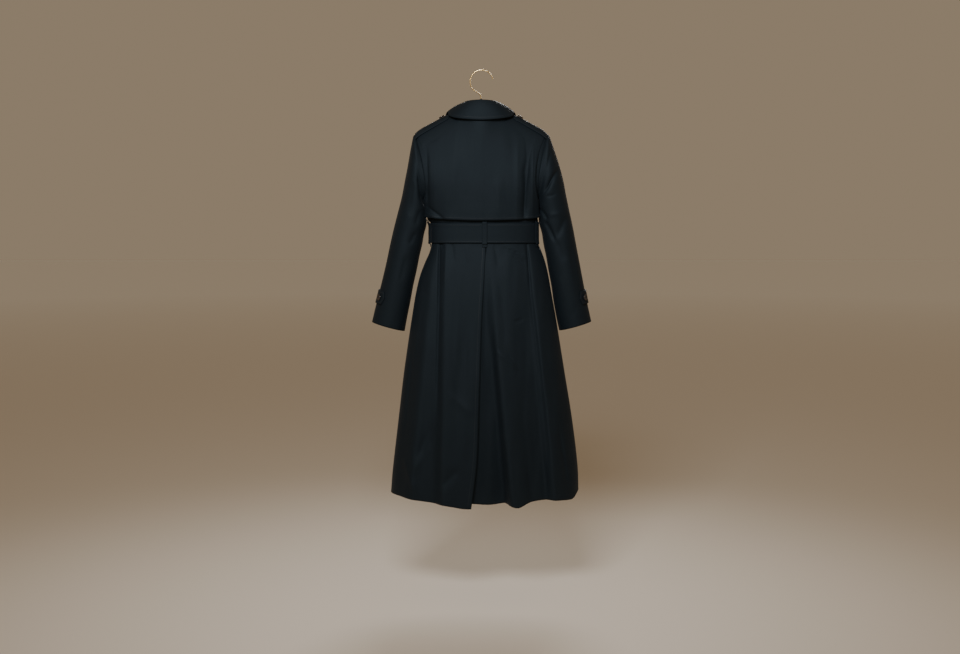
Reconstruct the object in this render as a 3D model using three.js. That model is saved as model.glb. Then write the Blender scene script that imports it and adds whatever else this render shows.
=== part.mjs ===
// A belted, double-breasted trench coat with a storm cape, hanging on a hanger.
// Millimetres. +X is the wearer's right, +Y is the coat's front, +Z is up.
// The origin is the inside top of the hanger's hook, where a rail carries it.
import * as THREE from "three";

// Cloth gauges and gaps
const SEAM_GAP = 0.3;
const CLOTH = 1.8;
const COLLAR_CLOTH = 2.2;
const TAB_CLOTH = 1.6;
const BELT_CLOTH = 2.6;
const LAYER_GAP = 0.4;

// Shoulders and armholes
const NECK_HALF = 72;
const NECK_TOP = -121;
const NECK_BACK_DEPTH = 50;
const NECK_BACK_DROP = 20.5;
const NECK_SOFT = 14;
const TIP_HALF = 198;
const TIP_TOP = -187;
const SHOULDER_SLOPE = (NECK_TOP - TIP_TOP) / (TIP_HALF - NECK_HALF);
const UNDERARM = -389;
const ARMHOLE_DEPTH = 62;
const ARMHOLE_STEPS = 8;

// The body's sections from the underarm to the hem: half widths left and right of the centre, depths back and front
const ROUNDNESS = 2.6;
const SECTIONS = [
  { z: -389, left: 166, right: 170, back: 66, front: 62 },
  { z: -425, left: 159, right: 170, back: 66, front: 62 },
  { z: -457, left: 150.5, right: 171, back: 62.5, front: 58.5 },
  { z: -487, left: 149, right: 171, back: 62, front: 58 },
  { z: -517, left: 149.5, right: 172.5, back: 62.5, front: 58.5 },
  { z: -546, left: 156, right: 184, back: 68, front: 64 },
  { z: -578, left: 170, right: 199, back: 74, front: 70 },
  { z: -618, left: 185, right: 210, back: 80, front: 76 },
  { z: -672, left: 198, right: 219, back: 87, front: 82 },
  { z: -745, left: 210, right: 228, back: 94, front: 88 },
  { z: -830, left: 223, right: 241, back: 101, front: 95 },
  { z: -930, left: 237, right: 257, back: 108, front: 101 },
  { z: -1040, left: 250, right: 275, back: 115, front: 107 },
  { z: -1150, left: 263, right: 290, back: 121, front: 112 },
  { z: -1230, left: 272, right: 298, back: 125, front: 116 },
  { z: -1292, left: 277, right: 300, back: 128, front: 118 },
];
const HEM = -1292;

// Where the back's centre edge runs, with the lap below it and how far the right back is set in under the left
const CENTRE_BACK = [
  { z: -140, x: 0, lap: 0, set: 0 },
  { z: -457, x: 13, lap: 0, set: 0 },
  { z: -546, x: 14, lap: 0, set: 0 },
  { z: -578, x: 12, lap: 0, set: 4.2 },
  { z: -618, x: 10, lap: 38, set: 5 },
  { z: -745, x: 2, lap: 44, set: 8 },
  { z: -930, x: -4, lap: 46, set: 14 },
  { z: -1150, x: -12, lap: 48, set: 20 },
  { z: -1292, x: -29, lap: 48, set: 25 },
];

// Skirt folds: the line each follows from the belt to the hem, its soft width on each side, and how far it stands out at the hem
const FOLDS = {
  back_left: [
    { waistX: -112, hemX: -124, leftWidth: 15, rightWidth: 48, out: 15 },
    { waistX: -140, hemX: -214, leftWidth: 24, rightWidth: 22, out: 9 },
    { waistX: -20, hemX: -58, leftWidth: 26, rightWidth: 60, out: 4 },
  ],
  back_right: [
    { waistX: 26, hemX: 112, leftWidth: 16, rightWidth: 26, out: 10 },
    { waistX: 96, hemX: 152, leftWidth: 18, rightWidth: 20, out: -9 },
    { waistX: 146, hemX: 214, leftWidth: 17, rightWidth: 34, out: 13 },
  ],
  front_left: [
    { waistX: -118, hemX: -152, leftWidth: 34, rightWidth: 22, out: 12 },
    { waistX: -138, hemX: -222, leftWidth: 20, rightWidth: 26, out: 7 },
  ],
  front_right: [
    { waistX: 128, hemX: 168, leftWidth: 22, rightWidth: 36, out: 13 },
    { waistX: 154, hemX: 240, leftWidth: 26, rightWidth: 20, out: 8 },
  ],
};
const FOLD_TOP = -530;
const SET_EDGE_WAIST = 20;
const SET_EDGE_HEM = 96;

// How much lower the hem hangs at places along it
const HEM_DROPS = {
  back_left: [{ x: -60, width: 90, drop: 12 }],
  back_right: [{ x: 112, width: 26, drop: 11 }],
  front_left: [{ x: 0, width: 70, drop: 5 }],
  front_right: [{ x: 0, width: 70, drop: 5 }],
};

// Fronts: the double-breasted lap, and the roll line from the neck down to the lap's edge
const FRONT_LAP = 80;
const ROLL_BREAK = -408;
const LAP_LIFT = 5;
const LAP_LIFT_FROM = 94;
const LAP_LIFT_TO = 134;
const LAP_LIFT_TOP = -185;
const LAP_LIFT_FULL = -250;

// Sleeves: for each ring the outer and inner edge points, the half depth, and how far it swings forward
const SLEEVES = {
  right: [
    { outX: 209, outZ: -203, inX: 173.5, inZ: -391.5, depth: 58, forward: 0 },
    { outX: 222, outZ: -240, inX: 175.5, inZ: -396, depth: 61, forward: 0 },
    { outX: 237, outZ: -285, inX: 177, inZ: -404, depth: 61, forward: 1 },
    { outX: 249, outZ: -330, inX: 178, inZ: -418, depth: 59, forward: 2 },
    { outX: 258, outZ: -376, inX: 179, inZ: -440, depth: 57, forward: 3 },
    { outX: 268, outZ: -422, inX: 181, inZ: -468, depth: 55, forward: 4 },
    { outX: 279, outZ: -471, inX: 187, inZ: -503, depth: 53, forward: 6 },
    { outX: 289, outZ: -522, inX: 195, inZ: -543, depth: 52, forward: 8 },
    { outX: 299, outZ: -572, inX: 204, inZ: -592, depth: 51, forward: 11 },
    { outX: 309, outZ: -622, inX: 214, inZ: -644, depth: 50, forward: 14 },
    { outX: 319, outZ: -672, inX: 222, inZ: -696, depth: 49, forward: 18 },
    { outX: 329, outZ: -718, inX: 231, inZ: -744, depth: 48, forward: 22 },
    { outX: 338, outZ: -756, inX: 240, inZ: -784, depth: 48, forward: 26 },
  ],
  left: [
    { outX: 206, outZ: -205, inX: 169.5, inZ: -391.5, depth: 58, forward: 0 },
    { outX: 213, outZ: -240, inX: 170.5, inZ: -396, depth: 60, forward: 0 },
    { outX: 221, outZ: -285, inX: 171, inZ: -404, depth: 60, forward: 1 },
    { outX: 230, outZ: -330, inX: 171, inZ: -418, depth: 59, forward: 2 },
    { outX: 239, outZ: -376, inX: 169, inZ: -440, depth: 57, forward: 3 },
    { outX: 251, outZ: -422, inX: 168, inZ: -468, depth: 55, forward: 4 },
    { outX: 264, outZ: -471, inX: 175, inZ: -503, depth: 53, forward: 6 },
    { outX: 276, outZ: -522, inX: 184, inZ: -543, depth: 52, forward: 8 },
    { outX: 287, outZ: -572, inX: 194, inZ: -592, depth: 51, forward: 11 },
    { outX: 299, outZ: -622, inX: 206, inZ: -644, depth: 50, forward: 14 },
    { outX: 312, outZ: -672, inX: 216, inZ: -696, depth: 49, forward: 18 },
    { outX: 324, outZ: -718, inX: 226, inZ: -744, depth: 48, forward: 22 },
    { outX: 334, outZ: -758, inX: 234, inZ: -786, depth: 48, forward: 26 },
  ],
};

// Collar, by the angle round the neck from the centre back: where it is sewn, where it folds over, and its outer edge
const COLLAR = [
  { turn: 0, seamX: 0, seamY: -50, seamZ: -141.2, foldX: 0, foldY: -48, foldZ: -90, edgeX: 0, edgeY: -66, edgeZ: -153 },
  { turn: 30, seamX: 36, seamY: -43.3, seamZ: -136.1, foldX: 29, foldY: -41, foldZ: -91, edgeX: 57, edgeY: -56, edgeZ: -144 },
  { turn: 60, seamX: 62.4, seamY: -25, seamZ: -125.7, foldX: 46, foldY: -22, foldZ: -93, edgeX: 90, edgeY: -30, edgeZ: -134 },
  { turn: 90, seamX: 72, seamY: 0, seamZ: -120.6, foldX: 52, foldY: 2, foldZ: -97, edgeX: 102, edgeY: 2, edgeZ: -124 },
  { turn: 115, seamX: 65, seamY: 17, seamZ: -132, foldX: 50, foldY: 20, foldZ: -109, edgeX: 110, edgeY: 31, edgeZ: -154 },
  { turn: 145, seamX: 47, seamY: 33, seamZ: -162, foldX: 39, foldY: 39, foldZ: -143, edgeX: 100, edgeY: 58, edgeZ: -206 },
];
const COLLAR_END = 145;
const COLLAR_BULGE = 9;
const STAND_SHARE = 0.86;

// Storm cape, belt and loops
const CAPE_HEM_CENTRE = -450;
const CAPE_HEM_CORNER = -440;
const CAPE_HANG = 11;
const CAPE_SIDE = 0.985;
const CAPE_SIDE_LOW = 0.965;
const CAPE_SIDE_HANG = 0.45;
const BELT_TOP = -457;
const BELT_BOTTOM = -516;
const BELT_START = 75;
const BELT_END = -320;
const LOOP_HALF_WIDTH = 7.5;
const LOOP_CLEAR = 1.1;

// Lapels, tabs, welts and buttons
const LAPEL_CLEAR = 0.9;
const LAPEL_WIDTH = 92;
const LAPEL_TOP_IN = -194;
const LAPEL_TOP_OUT = -232;
const EPAULETTE_INNER = 98;
const EPAULETTE_HALF_OUTER = 23;
const EPAULETTE_HALF_INNER = 17;
const STRAP_RING = 11.15;
const STRAP_HALF = 0.42;
const WELT_LENGTH = 165;
const WELT_WIDTH = 30;
const COAT_BUTTON = { radius: 14, height: 4.2 };
const TAB_BUTTON = { radius: 9.5, height: 3.4 };
const FRONT_BUTTON_ROWS = [-434, -590, -705];
const FRONT_BUTTON_X = 60;

// Hanger
const HOOK_RADIUS = 33;
const HOOK_WIRE = 1.6;
const STEM_TOP = -75;
const NECK_CAP_TOP = -84;
const HANGER_CENTRE = -134;
const HANGER_REACH = 186;

const CLOTH_FINISH = { color: 0x14171c, roughness: 0.86, metalness: 0 };
const finishes = {
  cloth: new THREE.MeshStandardMaterial({ name: "cloth", ...CLOTH_FINISH }),
  button: new THREE.MeshStandardMaterial({ name: "button", color: 0x15161a, roughness: 0.35, metalness: 0 }),
  buckle: new THREE.MeshStandardMaterial({ name: "buckle", color: 0x17181c, roughness: 0.5, metalness: 0 }),
  hanger: new THREE.MeshStandardMaterial({ name: "hanger", color: 0x101113, roughness: 0.5, metalness: 0 }),
  hook: new THREE.MeshStandardMaterial({ name: "hook", color: 0xc8a45a, roughness: 0.25, metalness: 1 }),
};

const coat = new THREE.Group();
coat.name = "trench_coat_on_hanger";

function add(name, geometry, finish) {
  const mesh = new THREE.Mesh(geometry, finishes[finish]);
  mesh.name = name;
  coat.add(mesh);
  return mesh;
}

const vec = (x, y, z) => new THREE.Vector3(x, y, z);
const { lerp, clamp, degToRad } = THREE.MathUtils;
const ease = (x, from, to) => THREE.MathUtils.smoothstep(x, from, to);
const ramp = (x, from, to) => clamp((x - from) / (to - from), 0, 1);
const steps = (count, from = 0, to = 1) => Array.from({ length: count + 1 }, (_, i) => lerp(from, to, i / count));

// Reads a named column of a table at any value of its key, along a smooth curve through the rows
function read(table, key, name, at) {
  const rising = table[table.length - 1][key] > table[0][key];
  const keys = table.map((row) => (rising ? row[key] : -row[key]));
  const x = clamp(rising ? at : -at, keys[0], keys[keys.length - 1]);
  let i = 0;
  while (i < keys.length - 2 && x > keys[i + 1]) i += 1;
  const value = (n) => table[clamp(n, 0, table.length - 1)][name];
  const slope = (n) => {
    const a = Math.max(n - 1, 0);
    const b = Math.min(n + 1, keys.length - 1);
    return (value(b) - value(a)) / (keys[b] - keys[a]);
  };
  const span = keys[i + 1] - keys[i];
  const t = (x - keys[i]) / span;
  const h = t * t * (3 - 2 * t);
  return (
    value(i) * (1 - h) +
    value(i + 1) * h +
    span * (slope(i) * t * (1 - t) * (1 - t) - slope(i + 1) * t * t * (1 - t))
  );
}

// The body's surface
// A place on it is u, from 0 at the centre to 1 or -1 at the right or left edge, and r:
// 0 to 1 from the shoulder seam to the underarm, and 1 to 2 from there to the hem.

const rounding = (u) => Math.pow(Math.max(1 - Math.pow(Math.min(Math.abs(u), 1), ROUNDNESS), 0), 1 / ROUNDNESS);
const drawIn = (r) => 1 - Math.pow(1 - r, 2.2);
const fill = (r) => Math.pow(drawIn(r), 0.6);

function halfWidth(side, r) {
  if (r >= 1) return read(SECTIONS, "z", side, levelZ(r));
  return lerp(TIP_HALF, SECTIONS[0][side], drawIn(r));
}

function levelZ(r) {
  return lerp(UNDERARM, HEM, r - 1);
}

function topEdgeZ(u, isBack) {
  const across = Math.abs(u) * TIP_HALF;
  if (across >= NECK_HALF) return NECK_TOP - (across - NECK_HALF) * SHOULDER_SLOPE;
  const share = across / NECK_HALF;
  return isBack ? NECK_TOP - NECK_BACK_DROP * (1 - share * share) : NECK_TOP;
}

function topEdgeDepth(u, isBack) {
  const share = (Math.abs(u) * TIP_HALF) / NECK_HALF;
  return isBack && share < 1 ? NECK_BACK_DEPTH * Math.sqrt(1 - share * share) : 0;
}

// Below the neck and shoulder seams their corner softens, so the back under the collar is smooth
function softTopZ(u, isBack) {
  const across = Math.abs(u) * TIP_HALF;
  const beyond = NECK_SOFT * Math.log(1 + Math.exp((across - NECK_HALF) / NECK_SOFT));
  const drop = isBack ? NECK_BACK_DROP * Math.exp(-Math.pow(across / 52, 2)) : 0;
  return NECK_TOP - drop - beyond * SHOULDER_SLOPE;
}

function softTopDepth(u, isBack) {
  return isBack ? NECK_BACK_DEPTH * Math.exp(-Math.pow((u * TIP_HALF) / 60, 2)) : 0;
}

function foldOut(panel, x, z) {
  const down = ramp(z, FOLD_TOP, HEM);
  if (down <= 0) return 0;
  const growth = Math.pow(down, 0.7);
  let out = 0;
  for (const fold of FOLDS[panel]) {
    const from = x - lerp(fold.waistX, fold.hemX, down);
    const width = (from < 0 ? fold.leftWidth : fold.rightWidth) * lerp(0.6, 1, down);
    out += fold.out * growth * Math.exp(-Math.pow(from / width, 2));
  }
  return out;
}

// The right back is set in beside the centre, as far as the edge of its pleat
function setIn(x, z) {
  const down = ramp(z, FOLD_TOP, HEM);
  const edge = lerp(SET_EDGE_WAIST, SET_EDGE_HEM, down);
  const soft = lerp(10, 16, down);
  return read(CENTRE_BACK, "z", "set", z) * (1 - ease(x, edge - soft, edge));
}

// The right front laps over the left one
function lapLift(x, z) {
  return LAP_LIFT * (1 - ease(x, LAP_LIFT_FROM, LAP_LIFT_TO)) * ease(-z, -LAP_LIFT_TOP, -LAP_LIFT_FULL);
}

function hemDrop(panel, x) {
  return HEM_DROPS[panel].reduce((sum, d) => sum + d.drop * Math.exp(-Math.pow((x - d.x) / d.width, 2)), 0);
}

function bodyPoint(panel, u, r) {
  const isBack = panel.startsWith("back");
  const face = isBack ? -1 : 1;
  const side = u < 0 ? "left" : "right";
  const x = u * halfWidth(side, r);
  if (r < 1) {
    const soft = ease(r, 0, 0.12);
    const z = lerp(lerp(topEdgeZ(u, isBack), softTopZ(u, isBack), soft), UNDERARM, r);
    const topDepth = lerp(topEdgeDepth(u, isBack), softTopDepth(u, isBack), soft);
    const edge = ARMHOLE_DEPTH * Math.sqrt(1 - Math.pow(r, 4));
    const section = lerp(edge, SECTIONS[0][isBack ? "back" : "front"], rounding(u));
    const depth = lerp(topDepth, section, fill(r));
    const lift = panel === "front_right" ? lapLift(x, z) : 0;
    return vec(x, face * (depth + lift), z);
  }
  const flatZ = levelZ(r);
  const depth = read(SECTIONS, "z", isBack ? "back" : "front", flatZ) * rounding(u);
  let out = foldOut(panel, x, flatZ) * Math.min(rounding(u) * 1.6, 1);
  if (panel === "back_right") out -= setIn(x, flatZ);
  if (panel === "front_right") out += lapLift(x, flatZ);
  return vec(x, face * (depth + out), flatZ - (r - 1) * hemDrop(panel, x) * rounding(u));
}

// The place u, r of a point given by x and z
function placeOf(panel, x, z) {
  const isBack = panel.startsWith("back");
  const side = x < 0 ? "left" : "right";
  if (z <= UNDERARM) {
    const r = 1 + (UNDERARM - z) / (UNDERARM - HEM);
    return [x / halfWidth(side, r), r];
  }
  let u = x / TIP_HALF;
  let r = 0;
  for (let i = 0; i < 6; i += 1) {
    const top = lerp(topEdgeZ(u, isBack), softTopZ(u, isBack), ease(r, 0, 0.12));
    r = clamp((z - top) / (UNDERARM - top), 0, 1);
    u = x / halfWidth(side, r);
  }
  return [u, r];
}

// Outward unit normal of a surface given by a function of two values
function normalOf(surface, a, b, outward, da = 0.004, db = 0.004, limits = {}) {
  const lowA = Math.max(a - da, limits.minA ?? -Infinity);
  const highA = Math.min(a + da, limits.maxA ?? Infinity);
  const lowB = Math.max(b - db, limits.minB ?? -Infinity);
  const highB = Math.min(b + db, limits.maxB ?? Infinity);
  const along = surface(highA, b).sub(surface(lowA, b));
  const down = surface(a, highB).sub(surface(a, lowB));
  const normal = along.cross(down).normalize();
  return normal.dot(outward) < 0 ? normal.negate() : normal;
}

// A point that lies on a body panel's wall, moved out from it
function onBody(panel, x, z, out) {
  const surface = (px, pz) => bodyPoint(panel, ...placeOf(panel, px, pz));
  const outward = vec(0, panel.startsWith("back") ? -1 : 1, 0);
  const normal = normalOf(surface, x, z, outward, 4, 4);
  const point = vec(x, wallDepth(panel, x, z) ?? surface(x, z).y, z);
  return { point: point.addScaledVector(normal, out), normal };
}

// The depth of a panel's outer face at x and z, found on the flat faces between its grid points
function wallDepth(panel, x, z) {
  const grid = panelGrids[panel];
  const onFace = (a, b, c) => {
    const whole = (b.x - a.x) * (c.z - a.z) - (c.x - a.x) * (b.z - a.z);
    const atB = ((x - a.x) * (c.z - a.z) - (c.x - a.x) * (z - a.z)) / whole;
    const atC = ((b.x - a.x) * (z - a.z) - (x - a.x) * (b.z - a.z)) / whole;
    const inside = atB >= -1e-6 && atC >= -1e-6 && atB + atC <= 1 + 1e-6;
    return inside ? a.y + atB * (b.y - a.y) + atC * (c.y - a.y) : undefined;
  };
  for (let i = 0; i < grid.length - 1; i += 1) {
    for (let j = 0; j < grid[0].length - 1; j += 1) {
      const [a, b, c, d] = [grid[i][j], grid[i][j + 1], grid[i + 1][j + 1], grid[i + 1][j]].map((n) => n.point);
      const depth = onFace(a, b, c) ?? onFace(a, c, d);
      if (depth !== undefined) return depth;
    }
  }
  return undefined;
}

// Cloth walls
// A wall has a grid of outer points with a normal at each; the inner points lie one cloth thickness under them.
// Its first columns can be split the mirrored way, to lie on a mirrored panel's flat faces.
// grid[i][j] is { point, normal }. The sides named in seams are drawn back by half a seam gap.

function drawBack(grid, seams) {
  const last = grid.length - 1;
  const end = grid[0].length - 1;
  const moves = [];
  const edges = {
    first: { cells: grid[0].map((_, j) => [0, j]), inward: [1, 0] },
    last: { cells: grid[0].map((_, j) => [last, j]), inward: [-1, 0] },
    top: { cells: grid.map((_, i) => [i, 0]), inward: [0, 1] },
    bottom: { cells: grid.map((_, i) => [i, end]), inward: [0, -1] },
  };
  for (const name of seams) {
    const { cells, inward } = edges[name];
    cells.forEach(([i, j], n) => {
      const before = cells[Math.max(n - 1, 0)];
      const after = cells[Math.min(n + 1, cells.length - 1)];
      const tangent = grid[after[0]][after[1]].point.clone().sub(grid[before[0]][before[1]].point);
      const inside = grid[i + inward[0]][j + inward[1]].point.clone().sub(grid[i][j].point);
      const across = grid[i][j].normal.clone().cross(tangent).normalize();
      if (across.dot(inside) < 0) across.negate();
      moves.push([i, j, across.multiplyScalar(SEAM_GAP / 2)]);
    });
  }
  moves.forEach(([i, j, by]) => grid[i][j].point.add(by));
}

function wall(grid, thickness, { seams = [], round = false, mirrored = 0 } = {}) {
  drawBack(grid, seams);
  const columns = grid.length;
  const rows = grid[0].length;
  const points = [];
  grid.forEach((line) => line.forEach(({ point }) => points.push(...point.toArray())));
  grid.forEach((line) =>
    line.forEach(({ point, normal }) => points.push(...point.clone().addScaledVector(normal, -thickness).toArray())),
  );
  const outer = (i, j) => (i % columns) * rows + j;
  const inner = (i, j) => columns * rows + outer(i, j);
  const faces = [];
  const quad = (a, b, c, d) => faces.push(a, b, c, a, c, d);
  const spans = round ? columns : columns - 1;
  for (let i = 0; i < spans; i += 1) {
    for (let j = 0; j < rows - 1; j += 1) {
      if (i < mirrored) {
        quad(outer(i, j + 1), outer(i + 1, j + 1), outer(i + 1, j), outer(i, j));
        quad(inner(i + 1, j), inner(i + 1, j + 1), inner(i, j + 1), inner(i, j));
      } else {
        quad(outer(i, j), outer(i, j + 1), outer(i + 1, j + 1), outer(i + 1, j));
        quad(inner(i, j), inner(i + 1, j), inner(i + 1, j + 1), inner(i, j + 1));
      }
    }
    quad(outer(i, 0), outer(i + 1, 0), inner(i + 1, 0), inner(i, 0));
    quad(outer(i + 1, rows - 1), outer(i, rows - 1), inner(i, rows - 1), inner(i + 1, rows - 1));
  }
  if (!round) {
    for (let j = 0; j < rows - 1; j += 1) {
      quad(outer(0, j + 1), outer(0, j), inner(0, j), inner(0, j + 1));
      quad(outer(columns - 1, j), outer(columns - 1, j + 1), inner(columns - 1, j + 1), inner(columns - 1, j));
    }
  }
  return facingOut(points, faces);
}

// Turns the faces round if the closed mesh encloses a negative volume
function facingOut(points, faces) {
  const at = (n) => vec(points[3 * n], points[3 * n + 1], points[3 * n + 2]);
  let volume = 0;
  for (let f = 0; f < faces.length; f += 3) {
    volume += at(faces[f]).dot(at(faces[f + 1]).cross(at(faces[f + 2])));
  }
  if (volume < 0) {
    for (let f = 0; f < faces.length; f += 3) [faces[f + 1], faces[f + 2]] = [faces[f + 2], faces[f + 1]];
  }
  const geometry = new THREE.BufferGeometry();
  geometry.setAttribute("position", new THREE.Float32BufferAttribute(points, 3));
  geometry.setIndex(faces);
  geometry.computeVertexNormals();
  return geometry;
}

// Body panels
const PANEL_COLUMNS = 14;
const NECK_COLUMNS = 5;
const upperRows = steps(ARMHOLE_STEPS).map((q) => (1 - Math.cos(Math.PI * q)) / 2);
const lowerRows = SECTIONS.slice(1).map(({ z }) => 1 + (UNDERARM - z) / (UNDERARM - HEM));
const panelRows = [...upperRows, ...lowerRows];
const shoulderNormal = (sign) => vec(sign * SHOULDER_SLOPE, 0, 1).normalize();
const towardSide = (t) => Math.sin((t * Math.PI) / 2);

function asShare(x, sign, r) {
  const side = x < 0 ? "left" : "right";
  return (sign * x) / halfWidth(side, r);
}

function backCentre(sign, r) {
  const z = r < 1 ? lerp(NECK_TOP - NECK_BACK_DROP, UNDERARM, r) : levelZ(r);
  const lap = sign > 0 ? read(CENTRE_BACK, "z", "lap", z) : 0;
  return asShare(read(CENTRE_BACK, "z", "x", z) - lap, sign, r);
}

function frontEdge(sign, r) {
  const z = r < 1 ? lerp(NECK_TOP, UNDERARM, r) : levelZ(r);
  const across = lerp(NECK_HALF, -FRONT_LAP, ramp(z, NECK_TOP, ROLL_BREAK));
  return asShare(sign * across, sign, r);
}

// Columns of the back meet the neck point at the top and spread evenly below
function backColumn(sign, t, r) {
  const neckShare = NECK_HALF / TIP_HALF;
  const split = NECK_COLUMNS / PANEL_COLUMNS;
  const top =
    t <= split
      ? neckShare * Math.sin(((t / split) * Math.PI) / 2)
      : lerp(neckShare, 1, towardSide((t - split) / (1 - split)));
  const centre = backCentre(sign, r);
  const low = centre + (1 - centre) * towardSide(t);
  return lerp(top, low, ease(r, 0, 0.75));
}

function frontColumn(sign, t, r) {
  const edge = frontEdge(sign, r);
  return edge + (1 - edge) * towardSide(t);
}

function panelSurface(panel) {
  const sign = panel.endsWith("right") ? 1 : -1;
  const column = panel.startsWith("back") ? backColumn : frontColumn;
  return (t, r) => bodyPoint(panel, sign * clamp(column(sign, t, r), -1, 1), clamp(r, 0, 2));
}

function sideNormal(sign, r) {
  const side = sign > 0 ? "right" : "left";
  const rise = (halfWidth(side, Math.min(r + 0.01, 2)) - halfWidth(side, Math.max(r - 0.01, 1))) / (UNDERARM - HEM);
  const span = Math.min(r + 0.01, 2) - Math.max(r - 0.01, 1);
  return vec(sign, 0, rise / span).normalize();
}

function panelNormal(panel, t, r) {
  const sign = panel.endsWith("right") ? 1 : -1;
  const isBack = panel.startsWith("back");
  const surface = panelSurface(panel);
  if (t >= 1 && r >= 1) return sideNormal(sign, r);
  const onShoulder = isBack ? t >= NECK_COLUMNS / PANEL_COLUMNS - 1e-6 : true;
  if (r <= 0 && onShoulder) return shoulderNormal(sign);
  const outward = vec(sign * 0.3, isBack ? -1 : 1, 0.2);
  const beyond = t <= 0 ? {} : { maxA: 1 };
  return normalOf(surface, t, r, outward, 0.01, 0.012, { ...beyond, minB: 0, maxB: r < 1 ? 1 : 2 });
}

function panelGrid(panel) {
  const surface = panelSurface(panel);
  return steps(PANEL_COLUMNS).map((t) =>
    panelRows.map((r) => ({ point: surface(t, r), normal: panelNormal(panel, t, r) })),
  );
}

const panelGrids = {};
for (const panel of ["back_left", "back_right", "front_left", "front_right"]) {
  const seams = panel.startsWith("back") ? ["first", "last", "top"] : ["last", "top"];
  panelGrids[panel] = panelGrid(panel);
  add(panel, wall(panelGrids[panel], CLOTH, { seams }), "cloth");
}

// Sleeves
const SLEEVE_SIDES = 2 * ARMHOLE_STEPS;

// A place on a sleeve's surface: the angle from its outer edge toward the back, and the ring, 1 or more
function sleevePoint(side, angle, ring) {
  const sign = side === "right" ? 1 : -1;
  const table = SLEEVES[side].map((row, i) => ({ ...row, ring: i + 1 }));
  const value = (name) => read(table, "ring", name, ring);
  const share = (1 - Math.cos(angle)) / 2;
  const edgeY = -ARMHOLE_DEPTH * 0.86 * Math.sin(angle);
  const y = lerp(-value("depth") * Math.sin(angle), edgeY, clamp((3 - ring) * 0.3, 0, 1));
  return vec(
    sign * lerp(value("outX"), value("inX"), share),
    y + value("forward"),
    lerp(value("outZ"), value("inZ"), share),
  );
}

function sleeveNormal(side, angle, ring) {
  const centre = sleevePoint(side, 0, ring).add(sleevePoint(side, Math.PI, ring)).multiplyScalar(0.5);
  const outward = sleevePoint(side, angle, ring).sub(centre);
  const limits = { minB: 1, maxB: SLEEVES[side].length };
  return normalOf((a, k) => sleevePoint(side, a, k), angle, ring, outward, 0.05, 0.2, limits);
}

// The sleeve's first ring follows the armhole's own edge, half a seam gap away
function armholeRing(side) {
  const sign = side === "right" ? 1 : -1;
  const ring = [];
  for (let i = 0; i < SLEEVE_SIDES; i += 1) {
    const back = i <= ARMHOLE_STEPS;
    const j = back ? i : SLEEVE_SIDES - i;
    const panel = (back ? "back_" : "front_") + side;
    const surface = panelSurface(panel);
    const r = upperRows[j];
    const point = surface(1, r);
    const edgeNormal = panelNormal(panel, 1, r);
    const tangent = surface(1, Math.min(r + 0.01, 1)).sub(surface(1, Math.max(r - 0.01, 0)));
    const away = edgeNormal.clone().cross(tangent).normalize();
    if (away.dot(point.clone().sub(surface(0.9, r))) < 0) away.negate();
    if (j === 0) away.set(sign, 0, -SHOULDER_SLOPE).normalize();
    if (j === ARMHOLE_STEPS) away.set(0, 0, 1);
    const turned = j === ARMHOLE_STEPS ? 0.9 : 0.75 * ease(r, 0.2, 0.95);
    const normal = edgeNormal.clone().multiplyScalar(1 - turned).addScaledVector(away, -turned).normalize();
    ring.push({ point: point.addScaledVector(away, 1.5 * SEAM_GAP), normal });
  }
  return ring;
}

for (const side of ["left", "right"]) {
  const first = armholeRing(side);
  const grid = steps(SLEEVE_SIDES)
    .slice(0, SLEEVE_SIDES)
    .map((share, i) => {
      const angle = share * 2 * Math.PI;
      const rings = SLEEVES[side].map((_, k) => ({
        point: sleevePoint(side, angle, k + 1),
        normal: sleeveNormal(side, angle, k + 1),
      }));
      return [first[i], ...rings];
    });
  add("sleeve_" + side, wall(grid, CLOTH, { round: true }), "cloth");
}

// Collar: a stand sewn round the neck and a fall turned down over the shoulders
function collarPlace(turn, kind) {
  const sign = turn < 0 ? -1 : 1;
  const value = (axis) => read(COLLAR, "turn", kind + axis, Math.abs(turn));
  return vec(sign * value("X"), value("Y"), value("Z"));
}

function fallPoint(turn, share) {
  const fold = collarPlace(turn, "fold");
  const edge = collarPlace(turn, "edge");
  const out = vec(Math.sin(degToRad(turn)), -Math.cos(degToRad(turn)), 0.7).normalize();
  const middle = fold.clone().lerp(edge, 0.42).addScaledVector(out, COLLAR_BULGE);
  return fold
    .multiplyScalar((1 - share) ** 2)
    .addScaledVector(middle, 2 * share * (1 - share))
    .addScaledVector(edge, share * share);
}

function standPoint(turn, share) {
  const seam = collarPlace(turn, "seam");
  const fold = collarPlace(turn, "fold");
  seam.z += 2 * SEAM_GAP;
  const inward = vec(-Math.sin(degToRad(turn)), Math.cos(degToRad(turn)), 0);
  return seam.lerp(fold, share).addScaledVector(inward, 1 + 2.2 * share);
}

const collarTurns = steps(28, -COLLAR_END, COLLAR_END);
const aroundNeck = (turn) => vec(Math.sin(degToRad(turn)), -Math.cos(degToRad(turn)), 0.4);
add(
  "collar_fall",
  wall(
    collarTurns.map((turn) =>
      steps(5).map((share) => ({
        point: fallPoint(turn, share),
        normal: normalOf(fallPoint, turn, share, aroundNeck(turn), 3, 0.05, {
          minA: -COLLAR_END,
          maxA: COLLAR_END,
          minB: 0,
          maxB: 1,
        }),
      })),
    ),
    COLLAR_CLOTH,
  ),
  "cloth",
);
add(
  "collar_stand",
  wall(
    collarTurns.map((turn) =>
      steps(2, 0, STAND_SHARE).map((share) => ({
        point: standPoint(turn, share),
        normal: vec(Math.sin(degToRad(turn)), -Math.cos(degToRad(turn)), 0),
      })),
    ),
    COLLAR_CLOTH,
  ),
  "cloth",
);

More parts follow.
